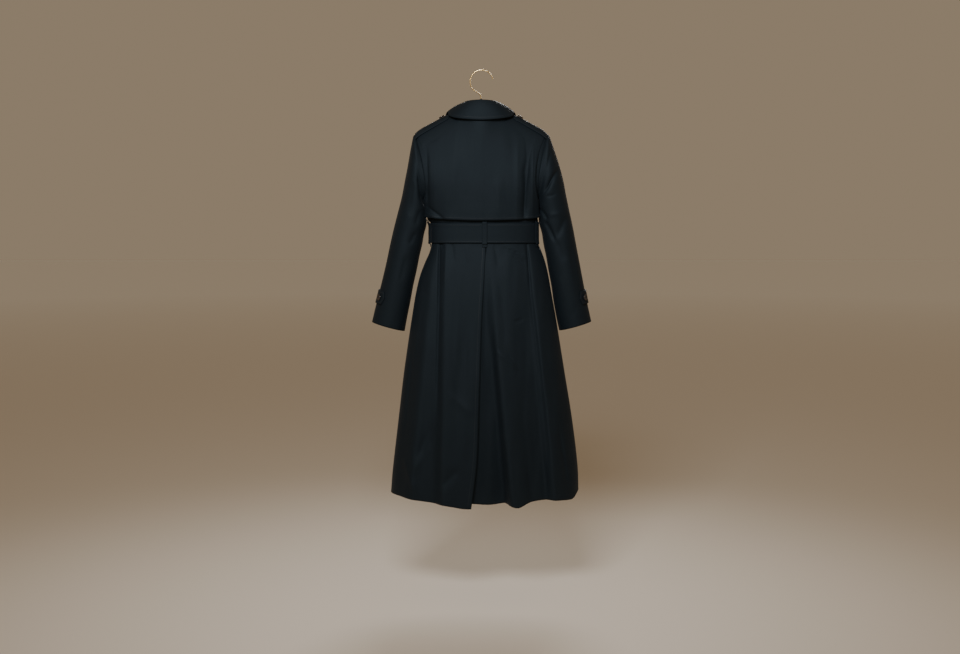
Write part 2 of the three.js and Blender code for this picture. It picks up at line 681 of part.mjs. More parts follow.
// Storm cape: one piece over both backs, sewn at the neck, shoulders and armholes, loose below
function capeEnd(across) {
  const corner = lerp(CAPE_HEM_CENTRE, CAPE_HEM_CORNER, Math.abs(across) ** 1.5);
  return 1 + (UNDERARM - corner) / (UNDERARM - HEM);
}

function capePlace(across, row) {
  const panel = across < 0 ? "back_left" : "back_right";
  const t = Math.abs(across);
  const r = row <= 1 ? row : lerp(1, capeEnd(across), row - 1);
  const column = backColumn(Math.sign(across) || 1, t, Math.min(r, 1));
  const u = Math.sign(across || 1) * Math.min(column, lerp(CAPE_SIDE, CAPE_SIDE_LOW, ease(r, 0.55, 1)));
  return { panel, t, r, u };
}

// The back's columns crowd together at the side, so the cape leaves out the two before its edge
const capeColumns = [...steps(PANEL_COLUMNS).slice(0, -3), 1];

function capeGrid() {
  const rows = [...upperRows, 1.5, 2];
  const columns = [...capeColumns.slice(1).reverse().map((t) => -t), ...capeColumns];
  const surface = (a, row) => {
    const { panel, r, u } = capePlace(a, row);
    return bodyPoint(panel, u, r);
  };
  return columns.map((across) =>
    rows.map((row) => {
      const { panel, t, r, u } = capePlace(across, row);
      const onShoulder = row === 0 && t >= NECK_COLUMNS / PANEL_COLUMNS - 1e-6;
      const limits = { minA: across < 0 ? -1 : 0, maxA: across < 0 ? 0 : 1, minB: 0, maxB: row < 1 ? 1 : 2 };
      let normal = normalOf(surface, across, row, vec(0, -1, 0.2), 0.02, 0.02, limits);
      if (t === 1) normal = normalOf((a, b) => bodyPoint(panel, a, b), u, r, vec(0, -1, 0.2), 0.008, 0.02, limits);
      if (onShoulder) normal = shoulderNormal(Math.sign(across));
      const hang = CAPE_HANG * ease(r, 0.4, 1.06) * (t === 1 ? CAPE_SIDE_HANG : 1 - 0.3 * (1 - t));
      return { point: surface(across, row).addScaledVector(normal, LAYER_GAP + TAB_CLOTH + hang), normal };
    }),
  );
}
add("back_cape", wall(capeGrid(), TAB_CLOTH, { mirrored: capeColumns.length - 1 }), "cloth");

// What stands out from the body at the waist: nothing at the back, the lapped front at the front
function waistPoint(angle, z, out) {
  const turn = degToRad(angle);
  const u = Math.sign(Math.cos(turn)) * Math.pow(Math.abs(Math.cos(turn)), 2 / ROUNDNESS);
  const isBack = Math.sin(turn) < 0;
  const r = 1 + (UNDERARM - z) / (UNDERARM - HEM);
  const side = u < 0 ? "left" : "right";
  const half = halfWidth(side, r);
  const x = u * half;
  const depth = read(SECTIONS, "z", isBack ? "back" : "front", z);
  const y = depth * Math.pow(Math.abs(Math.sin(turn)), 2 / ROUNDNESS) * (isBack ? -1 : 1);
  const lift = isBack ? 0 : LAP_LIFT * ease(x, -122, -88) * (1 - ease(x, 100, 134));
  const away = waistNormal(angle, half, depth);
  return vec(x, y, z).addScaledVector(away, out + lift);
}

function waistNormal(angle, half, depth) {
  const turn = degToRad(angle);
  const power = 2 - 2 / ROUNDNESS;
  const nx = Math.sign(Math.cos(turn)) * Math.pow(Math.abs(Math.cos(turn)), power) / half;
  const ny = Math.sign(Math.sin(turn)) * Math.pow(Math.abs(Math.sin(turn)), power) / depth;
  return vec(nx, ny, 0).normalize();
}

// Belt: once round the waist, then over its own start and through the buckle
const BELT_CLEAR = 0.8;
function beltPoint(angle, z) {
  const over = ease(-angle, 236, 268);
  return waistPoint(angle, z, BELT_CLEAR + BELT_CLOTH + over * (BELT_CLOTH + LAYER_GAP));
}

add(
  "belt",
  wall(
    steps(72, BELT_START, BELT_END).map((angle) =>
      steps(2, BELT_TOP, BELT_BOTTOM).map((z) => ({
        point: beltPoint(angle, z),
        normal: waistNormal(angle, 160, 62),
      })),
    ),
    BELT_CLOTH,
  ),
  "cloth",
);

// Belt loops: short straps sewn above and below the belt, arching over it
const LOOP_ROWS = [
  { z: -446, arch: 0 },
  { z: -451, arch: 0 },
  { z: -455.5, arch: 1 },
  { z: -472, arch: 1 },
  { z: -487, arch: 1 },
  { z: -502, arch: 1 },
  { z: -517.5, arch: 1 },
  { z: -522, arch: 0 },
  { z: -527, arch: 0 },
];
function loopGrid(angle, reach) {
  const normal = waistNormal(angle, 160, 62);
  const along = vec(-normal.y, normal.x, 0);
  return steps(2, -1, 1).map((across) =>
    LOOP_ROWS.map(({ z, arch }) => {
      const middle = waistPoint(angle, z, LOOP_CLEAR + TAB_CLOTH + arch * reach);
      return { point: middle.addScaledVector(along, across * LOOP_HALF_WIDTH), normal };
    }),
  );
}
const LOOPS = [
  { name: "belt_loop_back", angle: -87.6, reach: 3.4 },
  { name: "belt_loop_left", angle: 183, reach: 7 },
  { name: "belt_loop_right", angle: -17, reach: 4 },
];
for (const { name, angle, reach } of LOOPS) add(name, wall(loopGrid(angle, reach), TAB_CLOTH), "cloth");

// Buckle: a plain rectangular frame and its prong, flat over the belt
function buckle() {
  const outline = new THREE.Shape();
  const half = { w: 24, h: 36 };
  const bar = 7;
  const trace = (path, w, h, c) => {
    path.moveTo(-w + c, -h);
    path.lineTo(w - c, -h);
    path.absarc(w - c, -h + c, c, -Math.PI / 2, 0);
    path.lineTo(w, h - c);
    path.absarc(w - c, h - c, c, 0, Math.PI / 2);
    path.lineTo(-w + c, h);
    path.absarc(-w + c, h - c, c, Math.PI / 2, Math.PI);
    path.lineTo(-w, -h + c);
    path.absarc(-w + c, -h + c, c, Math.PI, 1.5 * Math.PI);
    return path;
  };
  trace(outline, half.w, half.h, 6);
  outline.holes.push(trace(new THREE.Path(), half.w - bar, half.h - bar, 3));
  const frame = new THREE.ExtrudeGeometry(outline, { depth: 4, bevelEnabled: false, curveSegments: 3 });
  const prong = new THREE.ExtrudeGeometry(trace(new THREE.Shape(), 21, 2, 1.5), {
    depth: 2.4,
    bevelEnabled: false,
    curveSegments: 2,
  });
  return { frame, prong };
}
const buckleAngle = 90;
const beltMiddle = (BELT_TOP + BELT_BOTTOM) / 2;
const beltOutside = BELT_CLEAR + 2 * BELT_CLOTH + LAYER_GAP;
const { frame: buckleFrame, prong: bucklePr } = buckle();
for (const [name, geometry, lift] of [["buckle_frame", buckleFrame, 0.7], ["buckle_prong", bucklePr, 5]]) {
  const mesh = add(name, geometry, "buckle");
  mesh.position.copy(waistPoint(buckleAngle, beltMiddle, beltOutside + lift));
  mesh.rotation.x = -Math.PI / 2;
}

// Lapels: turned back over the fronts from the roll line
function lapelGrid(side) {
  const sign = side === "right" ? 1 : -1;
  const panel = "front_" + side;
  const lowest = side === "right" ? ROLL_BREAK + 6 : -338;
  const rows = side === "right" ? 9 : 6;
  return steps(8).map((across) =>
    steps(rows).map((up) => {
      const inZ = lerp(lowest, LAPEL_TOP_IN, up);
      const rise = ramp(inZ, ROLL_BREAK, LAPEL_TOP_IN);
      const outZ = lerp(ROLL_BREAK, LAPEL_TOP_OUT, Math.pow(rise, 0.95)) + 0.001;
      const roll = lerp(NECK_HALF, -FRONT_LAP, ramp(inZ, NECK_TOP, ROLL_BREAK));
      const width = 10 + (LAPEL_WIDTH - 10) * Math.sin((Math.min(rise * 1.08, 1) * Math.PI) / 2);
      const x = sign * (roll + 0.8 + across * width);
      const z = lerp(inZ, outZ, across);
      return onBody(panel, x, z, LAPEL_CLEAR + CLOTH);
    }),
  );
}
for (const side of ["left", "right"]) add("lapel_" + side, wall(lapelGrid(side), CLOTH), "cloth");

// Epaulettes: straps along the shoulder seams, pointed toward the collar
function ridgePoint(x, y, out) {
  const u = x / TIP_HALF;
  const section = lerp(ARMHOLE_DEPTH, SECTIONS[0].back, rounding(u));
  const share = Math.pow(Math.min(Math.abs(y) / section, 0.95), 1 / 0.6);
  const r = 1 - Math.pow(1 - share, 1 / 2.2);
  const top = topEdgeZ(u, false);
  return vec(x, y, lerp(top, UNDERARM, r) + out);
}

function epauletteGrid(side) {
  const sign = side === "right" ? 1 : -1;
  const surface = (x, y) => ridgePoint(x, y, 0);
  const lift = LAYER_GAP + TAB_CLOTH + LAYER_GAP + TAB_CLOTH;
  return steps(8).map((along) =>
    steps(6, -1, 1).map((across) => {
      const point = EPAULETTE_INNER - 9 * (1 - Math.abs(across));
      const x = sign * lerp(TIP_HALF - 2, point, along);
      const y = across * lerp(EPAULETTE_HALF_OUTER, EPAULETTE_HALF_INNER, along);
      const normal = normalOf(surface, x, y, vec(0, 0, 1), 1, 1);
      return { point: surface(x, y).addScaledVector(normal, lift), normal };
    }),
  );
}
for (const side of ["left", "right"]) add("epaulette_" + side, wall(epauletteGrid(side), TAB_CLOTH), "cloth");

// Sleeve straps: round each cuff, pointed on the back, buttoned near the outer edge
function strapGrid(side) {
  const surface = (a, k) => sleevePoint(side, a, k);
  return steps(16).map((along) =>
    steps(2, -1, 1).map((across) => {
      const tip = degToRad(50 - 8 * Math.abs(across));
      const angle = lerp(tip, degToRad(-170), along);
      const ring = STRAP_RING + across * STRAP_HALF;
      const loose = 1.6 * Math.exp(-Math.pow(angle / 0.9, 2));
      const normal = sleeveNormal(side, angle, ring);
      const point = surface(angle, ring).addScaledVector(normal, LAYER_GAP + 0.6 + TAB_CLOTH + loose);
      return { point, normal };
    }),
  );
}
for (const side of ["left", "right"]) add("sleeve_strap_" + side, wall(strapGrid(side), TAB_CLOTH), "cloth");

// Pocket welts: slanted strips on the fronts
function weltGrid(side) {
  const sign = side === "right" ? 1 : -1;
  const slant = degToRad(14);
  const centre = { x: sign * 138, z: -668 };
  return steps(3, -0.5, 0.5).map((across) =>
    steps(12, -0.5, 0.5).map((along) => {
      const dx = sign * (across * WELT_WIDTH * Math.cos(slant) - along * WELT_LENGTH * Math.sin(slant));
      const dz = along * WELT_LENGTH * Math.cos(slant) + across * WELT_WIDTH * Math.sin(slant);
      return onBody("front_" + side, centre.x + dx, centre.z + dz, 2 * LAYER_GAP + CLOTH);
    }),
  );
}
for (const side of ["left", "right"]) add("pocket_welt_" + side, wall(weltGrid(side), CLOTH), "cloth");

// Buttons
function button({ radius, height }) {
  const profile = [
    [0, 0],
    [radius * 0.86, 0],
    [radius, height * 0.45],
    [radius * 0.9, height],
    [radius * 0.66, height * 0.7],
    [0, height * 0.7],
  ].map(([x, y]) => new THREE.Vector2(x, y));
  return new THREE.LatheGeometry(profile, 14);
}

function placeButton(name, size, point, normal) {
  const mesh = add(name, button(size), "button");
  mesh.position.copy(point);
  mesh.quaternion.setFromUnitVectors(vec(0, 1, 0), normal);
}

FRONT_BUTTON_ROWS.forEach((z, row) => {
  for (const [column, x] of [["outer", -FRONT_BUTTON_X], ["inner", FRONT_BUTTON_X]]) {
    const { point, normal } = onBody("front_right", x, z, 0.5);
    placeButton("front_button_" + column + "_" + (row + 1), COAT_BUTTON, point, normal);
  }
});
for (const side of ["left", "right"]) {
  const sign = side === "right" ? 1 : -1;
  const lift = 2 * (LAYER_GAP + TAB_CLOTH) + 1;
  const ridge = ridgePoint(sign * (EPAULETTE_INNER + 17), 0, 0).addScaledVector(shoulderNormal(sign), lift);
  placeButton("epaulette_button_" + side, TAB_BUTTON, ridge, shoulderNormal(sign));
  const angle = degToRad(34);
  const normal = sleeveNormal(side, angle, STRAP_RING);
  const cuff = sleevePoint(side, angle, STRAP_RING).addScaledVector(normal, LAYER_GAP + 0.6 + TAB_CLOTH + 1.9);
  placeButton("sleeve_button_" + side, TAB_BUTTON, cuff, normal);
}

// Hanger: sloping arms under the shoulder seams, a neck, and a wire hook
function hangerArms() {
  const sides = 8;
  const drop = (x) => {
    const reach = Math.abs(x);
    const onShoulder = NECK_TOP - (reach - NECK_HALF) * SHOULDER_SLOPE - 9.6 - CLOTH;
    const nearNeck = lerp(HANGER_CENTRE, NECK_TOP - 9.6 - CLOTH - 3, ease(reach, 0, NECK_HALF));
    return reach >= NECK_HALF + 8 ? onShoulder : Math.min(nearNeck, onShoulder);
  };
  const xs = steps(24, -HANGER_REACH, HANGER_REACH);
  const points = [];
  for (const x of xs) {
    for (let k = 0; k < sides; k += 1) {
      const turn = (k / sides) * 2 * Math.PI;
      points.push(x, 6.5 * Math.cos(turn), drop(x) + 7.5 * Math.sin(turn));
    }
  }
  const faces = [];
  for (let i = 0; i < xs.length - 1; i += 1) {
    for (let k = 0; k < sides; k += 1) {
      const a = i * sides + k;
      const b = i * sides + ((k + 1) % sides);
      faces.push(a, b, b + sides, a, b + sides, a + sides);
    }
  }
  const end = (xs.length - 1) * sides;
  for (let k = 1; k < sides - 1; k += 1) {
    faces.push(0, k + 1, k, end, end + k, end + k + 1);
  }
  return facingOut(points, faces);
}
add("hanger_arms", hangerArms(), "hanger");

const capHeight = NECK_CAP_TOP - (HANGER_CENTRE + 7.5 + SEAM_GAP);
const neckCap = new THREE.LatheGeometry(
  [[0, 0], [7, 0], [6, capHeight * 0.5], [3.4, capHeight], [0, capHeight]].map(([x, y]) => new THREE.Vector2(x, y)),
  12,
);
const cap = add("hanger_neck", neckCap, "hanger");
cap.rotation.x = Math.PI / 2;
cap.position.z = NECK_CAP_TOP - capHeight;

// The hook's wire: up from the neck, then most of a circle whose inside top is the origin
function hook() {
  const centreZ = -HOOK_RADIUS;
  const wireRadius = HOOK_RADIUS + HOOK_WIRE;
  const path = new THREE.CurvePath();
  const bend = degToRad(232);
  const round = steps(26, bend, degToRad(12)).map((turn) =>
    vec(wireRadius * Math.cos(turn) + 2, 0, centreZ + wireRadius * Math.sin(turn)),
  );
  const stem = [vec(0, 0, NECK_CAP_TOP + SEAM_GAP), vec(0, 0, STEM_TOP), vec(-3, 0, STEM_TOP + 6)];
  path.add(new THREE.CatmullRomCurve3([...stem, ...round], false, "centripetal"));
  const section = new THREE.Shape();
  section.absarc(0, 0, HOOK_WIRE, 0, 2 * Math.PI);
  return new THREE.ExtrudeGeometry(section, {
    extrudePath: path.curves[0],
    steps: 60,
    curveSegments: 4,
    bevelEnabled: false,
  });
}
add("hanger_hook", hook(), "hook");

export default coat;
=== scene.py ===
from bisect import bisect_right
from functools import partial
from itertools import accumulate
from math import cos, exp, log, pi, radians, sin, sqrt
import bmesh
import bpy
from mathutils import Matrix, Vector, noise


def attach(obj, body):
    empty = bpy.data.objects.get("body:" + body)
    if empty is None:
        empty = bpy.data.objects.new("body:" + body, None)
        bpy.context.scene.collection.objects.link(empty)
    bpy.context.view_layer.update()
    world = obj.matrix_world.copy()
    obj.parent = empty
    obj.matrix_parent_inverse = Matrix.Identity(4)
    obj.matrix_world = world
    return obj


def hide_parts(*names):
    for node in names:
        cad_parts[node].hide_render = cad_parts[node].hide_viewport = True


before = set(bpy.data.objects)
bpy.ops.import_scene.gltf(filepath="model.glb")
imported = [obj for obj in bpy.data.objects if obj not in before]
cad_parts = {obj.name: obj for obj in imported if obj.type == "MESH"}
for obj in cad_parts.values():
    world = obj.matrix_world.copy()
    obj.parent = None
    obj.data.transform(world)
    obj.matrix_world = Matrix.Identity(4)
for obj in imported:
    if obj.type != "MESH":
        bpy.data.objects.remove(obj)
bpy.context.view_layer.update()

# The coat's sizes are in millimetres. +X is the wearer's right, +Y the coat's front, +Z up.
MM = 0.001


def new_object(name, data):
    made = bpy.data.objects.new(name, data)
    bpy.context.collection.objects.link(made)
    return made


# ---- Camera

CAMERA_PLACE = (-0.003, -4.05, -0.4285)
CAMERA_DIP = 4.85

camera_data = bpy.data.cameras.new("camera")
camera_data.lens = 50
camera_data.sensor_width = 36
camera_data.clip_end = 60
camera = new_object("camera", camera_data)
camera.location = CAMERA_PLACE
camera.rotation_euler = (radians(90 - CAMERA_DIP), 0, 0)
bpy.context.scene.camera = camera


# ---- Sizes of the coat

# Which way each side of the wearer lies along X
SIDES = {"left": -1, "right": 1}

CLOTH = 1.8
COLLAR_CLOTH = 2.2
TAB_CLOTH = 1.6
BELT_CLOTH = 2.6
LAYER_GAP = 0.4

NECK_HALF = 72
NECK_TOP = -121
NECK_BACK_DEPTH = 50
NECK_BACK_DROP = 20.5
NECK_SOFT = 14
NECK_DROP_WIDTH, NECK_DEPTH_WIDTH = 52, 60
TIP_HALF = 198
TIP_TOP = -187
TIP_ROUND, TIP_ROUND_WIDTH = 5.5, 24
SHOULDER_SLOPE = (NECK_TOP - TIP_TOP) / (TIP_HALF - NECK_HALF)
UNDERARM = -389
ARMHOLE_DEPTH = 62
ROUNDNESS = 2.3
HEM = -1292

# How fast the shoulders widen and deepen below their seams, and over what share the corner there softens
WIDTH_POWER, DEPTH_POWER, SEAM_SOFT = 2.2, 0.6, 0.12
# Between which heights the side leaves the armhole's depth, and how fast folds fade toward it
SIDE_HANGS_FROM, SIDE_HANGS_TO = -290, -452
EDGE_FADE = 1.6


def rows(names, *values):
    """A short table: the columns' names, then one row of numbers for each section or fold."""
    names = names.split()
    return [dict(zip(names, row)) for row in values]


SLEEVE_COLUMNS = "ring out_x out_z in_x in_z depth forward"

# The body's half widths to each side and its depths to the back and the front
SECTIONS = rows(
    "z left right back front",
    (-389, 166, 170, 66, 62),
    (-425, 161, 170.5, 66, 62),
    (-447, 162, 172, 64.5, 60.5),
    (-459, 150.5, 171, 62.5, 58.5),
    (-487, 149, 171, 62, 58),
    (-517, 149.5, 172.5, 62.5, 58.5),
    (-546, 156, 184, 68, 64),
    (-578, 170, 195, 74, 70),
    (-618, 185, 204.5, 80, 76),
    (-672, 198, 214, 87, 82),
    (-745, 210, 227, 94, 88),
    (-830, 223, 241, 101, 95),
    (-930, 237, 257, 108, 101),
    (-1040, 250, 275, 115, 107),
    (-1150, 263, 290, 121, 112),
    (-1230, 272, 298, 125, 116),
    (-1292, 277, 300, 128, 118),
)

# The back's centre edge, the lap hidden under it, and how far the right back is set in beside it
CENTRE_BACK = rows(
    "z x lap set",
    (-140, 0, 0, 0),
    (-457, 13, 0, 0),
    (-546, 14, 0, 0.4),
    (-578, 12, 14, 2.4),
    (-618, 10, 38, 4.4),
    (-745, 2, 44, 8),
    (-930, -4, 46, 14),
    (-1150, -12, 48, 22),
    (-1292, -29, 48, 30),
)

# The skirt's folds: where the line of each lies at the waist and at the hem, its soft width on each
# side at the hem, and how far it stands out there, or in where that is below zero
FOLDS = {
    "back_left": (
        (-104, -114, 19, 46, 20),
        (-140, -214, 24, 22, 12),
        (-20, -58, 26, 60, 6),
    ),
    "back_right": (
        (24, 102, 10, 46, 8),
        (126, 196, 60, 12, -19),
        (150, 226, 11, 90, 8),
    ),
    "front_left": (
        (-118, -152, 34, 20, 18),
        (-138, -222, 20, 26, 11),
    ),
    "front_right": (
        (128, 168, 20, 36, 18),
        (154, 240, 26, 20, 12),
    ),
}
FOLD_TOP = -530
FOLD_GROWTH = 0.7
FOLD_WAIST_WIDTH = 0.6
SET_EDGE_WAIST = 20
SET_EDGE_HEM = 90

# The hem's slow waves: where each lies, its soft width, and how far the hem comes down there
HEM_DROPS = {
    "back_left": ((-36, 62, 15),),
    "back_right": ((30, 60, 9), (112, 24, 13), (206, 60, -6)),
    "front_left": ((0, 70, 5),),
    "front_right": ((0, 70, 5),),
}

# The hem is drawn up at the side seams: how far, and over what share of the half width
SIDE_LIFTS = {"left": (14, 0.32), "right": (21, 0.045)}

# Creases pressed or hung into the cloth: a line from one end to the other, seen square on,
# its soft width on each side, and how far it stands out, or in where that is below zero
CREASES = {
    "back_left": (
        (-125, -516, -126, -700, 4, 6, -8), (-126, -690, -132, -1000, 5, 7, -6),
        (-122, -514, -113, -531, 5, 5, -3.6), (-106, -520, -109, -660, 6, 12, 3.4),
        (-88, -518, -80, -570, 6, 8, -2.2), (-44, -520, -36, -566, 7, 8, 1.8),
        (-60, -580, -78, -900, 14, 20, 2.2), (-36, -700, -52, -1000, 12, 14, -2),
        (-140, -1060, -196, -1170, 22, 18, -3.6), (-152, -1120, -206, -1210, 18, 16, 2.2),
        (-92, -960, -26, -1012, 20, 16, 2.4), (-70, -1180, -120, -1240, 16, 14, -3.6),
        (-206, -860, -232, -1110, 12, 14, -4), (-182, -700, -206, -900, 10, 12, 2.6),
        (-232, -1180, -200, -1270, 12, 16, 4),
    ),
    "back_right": (
        (138, -520, 148, -656, 5, 3.5, -6.5), (146, -640, 184, -985, 6, 4, -7.5),
        (182, -970, 204, -1180, 8, 6, -5.5), (38, -744, 57, -952, 4, 9, 3),
        (54, -940, 92, -1292, 4, 12, 4), (124, -1000, 150, -1285, 14, 16, -2.4),
        (66, -531, 122, -548, 4, 4, -3), (80, -544, 132, -560, 5, 5, 2.4),
        (40, -522, 52, -580, 6, 7, -2), (100, -744, 126, -739, 4, 4, -3),
        (54, -836, 106, -880, 7, 6, 3), (50, -820, 98, -858, 6, 6, -2.2),
        (60, -640, 70, -820, 16, 18, -2.4), (16, -640, 6, -900, 8, 11, -2.2),
        (226, -720, 250, -960, 12, 11, -4), (206, -640, 224, -780, 10, 11, 2.4),
        (238, -1090, 262, -1250, 13, 11, -5),
    ),
    "front_left": (
        (-126, -514, -130, -574, 5, 7, -5.5), (-180, -760, -214, -1020, 13, 16, -4.2),
        (-108, -800, -126, -1180, 14, 11, 4), (-150, -1040, -190, -1150, 11, 13, -4.8),
        (-120, -300, -96, -400, 11, 12, -2.8), (-30, -640, -20, -900, 18, 20, 2.2),
        (-60, -1060, -40, -1250, 16, 14, -3.4),
    ),
    "front_right": (
        (132, -514, 136, -574, 7, 5, -5.5), (20, -730, 34, -930, 16, 20, 2.6),
        (96, -780, 118, -1080, 11, 14, -4), (186, -780, 226, -1060, 14, 16, -4.6),
        (60, -1020, 96, -1180, 14, 12, 3.6), (118, -300, 92, -404, 12, 11, -2.8),
        (-20, -1000, -34, -1240, 16, 14, -1.4),
    ),
    "cape": (
        (148, -176, 133, -330, 11, 8, -7), (136, -290, 126, -446, 10, 8, -10),
        (154, -230, 147, -440, 9, 8, 2.4), (108, -220, 104, -430, 11, 11, 1.8),
        (-154, -404, -108, -444, 5, 4, -4.4), (-160, -422, -128, -442, 6, 6, 2.8),
        (-166, -240, -154, -420, 8, 9, -8.5), (-138, -260, -134, -430, 11, 11, 1.6),
        (-62, -290, -68, -446, 26, 22, -2.4), (46, -330, 54, -446, 20, 22, 2),
        (-10, -200, -14, -330, 24, 22, -1.2), (-38, -156, -2, -163, 2.4, 2, -2.2),
        (-4, -163, 38, -156, 2.4, 2, -2.2), (88, -146, 150, -214, 9, 9, -2),
        (-88, -146, -150, -214, 9, 9, -2),
    ),
    "sleeve_right": (
        (206, -238, 182, -300, 10, 10, -4), (231, -298, 190, -362, 9, 7, -8),
        (196, -376, 222, -372, 4, 4, -2.4), (174, -410, 198, -446, 4, 5, -8.5),
        (192, -452, 220, -508, 5, 7, -8), (204, -432, 240, -428, 9, 8, 1.8),
        (256, -440, 230, -496, 18, 10, -4.6), (228, -512, 252, -566, 13, 11, -3),
        (270, -520, 290, -640, 11, 10, -2.6), (238, -620, 262, -700, 12, 10, 1.4),
        (300, -690, 268, -742, 12, 12, -2.2),
    ),
    "sleeve_left": (
        (194, -214, 184, -264, 4, 5, -5), (183, -322, 172, -394, 8, 7, -9),
        (206, -340, 214, -420, 14, 14, -2), (182, -420, 196, -462, 8, 9, -3),
        (214, -430, 236, -470, 12, 12, 1.4), (196, -486, 214, -520, 8, 10, -3),
        (226, -560, 246, -640, 16, 12, -2.6), (240, -640, 262, -720, 14, 12, -2),
        (286, -600, 306, -660, 10, 10, 1.6),
    ),
}

# A crease's section is a wide bell with a sharper one in it
SHARP_SHARE, SHARP_WIDTH = 0.4, 0.42

# Where each kind of piece lies in the cloth's slow unevenness, and how deep that is
SEEDS = {"back": 3, "front": 11, "sleeve": 5, "cape": 17}
PANEL_WAVE, SKIRT_WAVE = 1.1, 2.6
SLEEVE_WAVE, CAPE_WAVE = 1.2, 1.5

FRONT_LAP = 80
ROLL_BREAK = -408
LAP_LIFT = 5
LAP_LIFT_FROM, LAP_LIFT_TO = 94, 134
LAP_LIFT_TOP, LAP_LIFT_FULL = -185, -250

# The sleeves' rings from the armhole down: their outer and inner edges, half depth, and set forward
SLEEVES = {
    "right": rows(
        SLEEVE_COLUMNS,
        (1, 209, -203, 172.5, -391.5, 58, 0),
        (2, 222, -240, 173, -396, 61, 0),
        (3, 237, -285, 173.5, -404, 61, 1),
        (4, 249, -330, 173, -418, 59, 2),
        (5, 258, -376, 174.5, -440, 57, 3),
        (6, 268, -422, 179.5, -468, 55, 4),
        (7, 279, -471, 187, -503, 53, 6),
        (8, 289, -522, 195, -543, 52, 8),
        (9, 299, -572, 204, -592, 51, 11),
        (10, 309, -622, 214, -644, 50, 14),
        (11, 319, -672, 222, -696, 49, 18),
        (12, 329, -718, 231, -744, 48, 22),
        (13, 338, -756, 240, -784, 48, 26),
    ),
    "left": rows(
        SLEEVE_COLUMNS,
        (1, 206, -205, 169.5, -391.5, 58, 0),
        (2, 213, -240, 170.5, -396, 60, 0),
        (3, 221, -285, 171, -404, 60, 1),
        (4, 230, -330, 166.5, -418, 59, 2),
        (5, 239, -376, 165.5, -440, 57, 3),
        (6, 251, -422, 167, -468, 55, 4),
        (7, 264, -471, 175, -503, 53, 6),
        (8, 276, -522, 184, -543, 52, 8),
        (9, 287, -572, 194, -592, 51, 11),
        (10, 299, -622, 206, -644, 50, 14),
        (11, 312, -672, 216, -696, 49, 18),
        (12, 324, -718, 226, -744, 48, 22),
        (13, 334, -758, 234, -786, 48, 26),
    ),
}

CUFF_RING = 13

# The collar's seam, fold and edge, by the angle round the neck from the centre back
COLLAR = rows(
    "turn seam_x seam_y seam_z fold_x fold_y fold_z edge_x edge_y edge_z",
    (0, 0, -50, -141.2, 0, -48, -90, 0, -64, -151),
    (30, 36, -43.3, -136.1, 29, -41, -91, 57, -55, -146.5),
    (60, 62.4, -25, -125.7, 46, -22, -93, 93, -31, -137.5),
    (90, 72, 0, -120.6, 52, 2, -97, 102, 2, -124),
    (115, 65, 17, -132, 50, 20, -109, 110, 31, -154),
    (145, 47, 33, -162, 39, 39, -143, 100, 58, -206),
)
COLLAR_END = 145
COLLAR_BULGE = 9
STAND_SHARE = 0.93

CAPE_HEM_CENTRE = -446.5
CAPE_HEM_CORNER = -437
CAPE_HANG = 11
CAPE_SIDE_HANG = 0.45
# The rows below the underarm, for one of those above
CAPE_LOW_ROWS = 0.2
# The cape's width as a share of the back's under it, by its height on the back
CAPE_SIDES = rows(
    "r left right",
    (0, 0.985, 0.985),
    (0.3, 0.945, 0.945),
    (0.7, 0.94, 0.94),
    (0.9, 0.985, 0.962),
    (1.06, 1.025, 0.995),
)

BELT_TOP = -457
BELT_BOTTOM = -516
BELT_MIDDLE = (0, 0, -487)
WAIST_HALF, WAIST_DEPTH = 160, 62
# It starts at the buckle, and from the third angle to the fourth it climbs over its own start
BELT_START, BELT_END = 75, -320
BELT_OVER_FROM, BELT_OVER_TO = -236, -268
BELT_CLEAR = 0.8
LOOP_CLEAR = 1.1
LOOP_HALF_WIDTH = 7.5
LOOP_ROWS = rows(
    "z arch",
    (-446, 0), (-451, 0), (-455.5, 1), (-472, 1), (-487, 1), (-502, 1), (-517.5, 1), (-522, 0), (-527, 0),
)
LOOPS = rows(
    "name angle reach twist",
    ("belt_loop_back", -87.6, 3.4, 0),
    ("belt_loop_left", 183, 5, 20),
    ("belt_loop_right", -17, 4, 8),
)

LAPEL_CLEAR = 0.9
LAPEL_WIDTH = 92
LAPEL_POINT = 10
LAPEL_TOP_IN, LAPEL_TOP_OUT = -194, -232
LAPEL_ENDS = {"left": -338, "right": ROLL_BREAK + 6}
EPAULETTE_INNER, EPAULETTE_POINT = 98, 9
EPAULETTE_HALF_OUTER, EPAULETTE_HALF_INNER = 23, 17
STRAP_RING, STRAP_HALF = 11.15, 0.42
STRAP_TIP, STRAP_TIP_CUT, STRAP_END = 58, 9, -158
STRAP_CLEAR = 0.6
WELT_LENGTH, WELT_WIDTH, WELT_SLANT = 165, 30, 14
WELT_X, WELT_Z = 138, -668
FRONT_BUTTON_ROWS = (-434, -590, -705)
FRONT_BUTTON_X = 60
EPAULETTE_BUTTON_IN = 17
SLEEVE_BUTTON_ANGLE = 34
STITCH_PITCH, STITCH_LONG, STITCH_WIDE = 3.6, 2.6, 0.5
STITCH_OUT = 0.12

HOOK_RADIUS = 33
HOOK_WIRE = 1.6
HOOK_FROM, HOOK_TO, HOOK_STEPS = 232, 12, 40
STEM_TOP = -75
NECK_CAP_TOP = -84


# ---- Small sums

def mix(a, b, share):
    return a + (b - a) * share


def clamp(x, low=0.0, high=1.0):
    return min(max(x, low), high)


def ramp(x, low, high):
    return clamp((x - low) / (high - low))


def ease(x, low, high):
    share = ramp(x, low, high)
    return share * share * (3 - 2 * share)


def bell(x, width):
    return exp(-((x / width) ** 2))


def sign_of(x):
    return -1 if x < 0 else 1


def signed_power(x, power):
    return sign_of(x) * abs(x) ** power


def side_of(x):
    return "left" if x < 0 else "right"


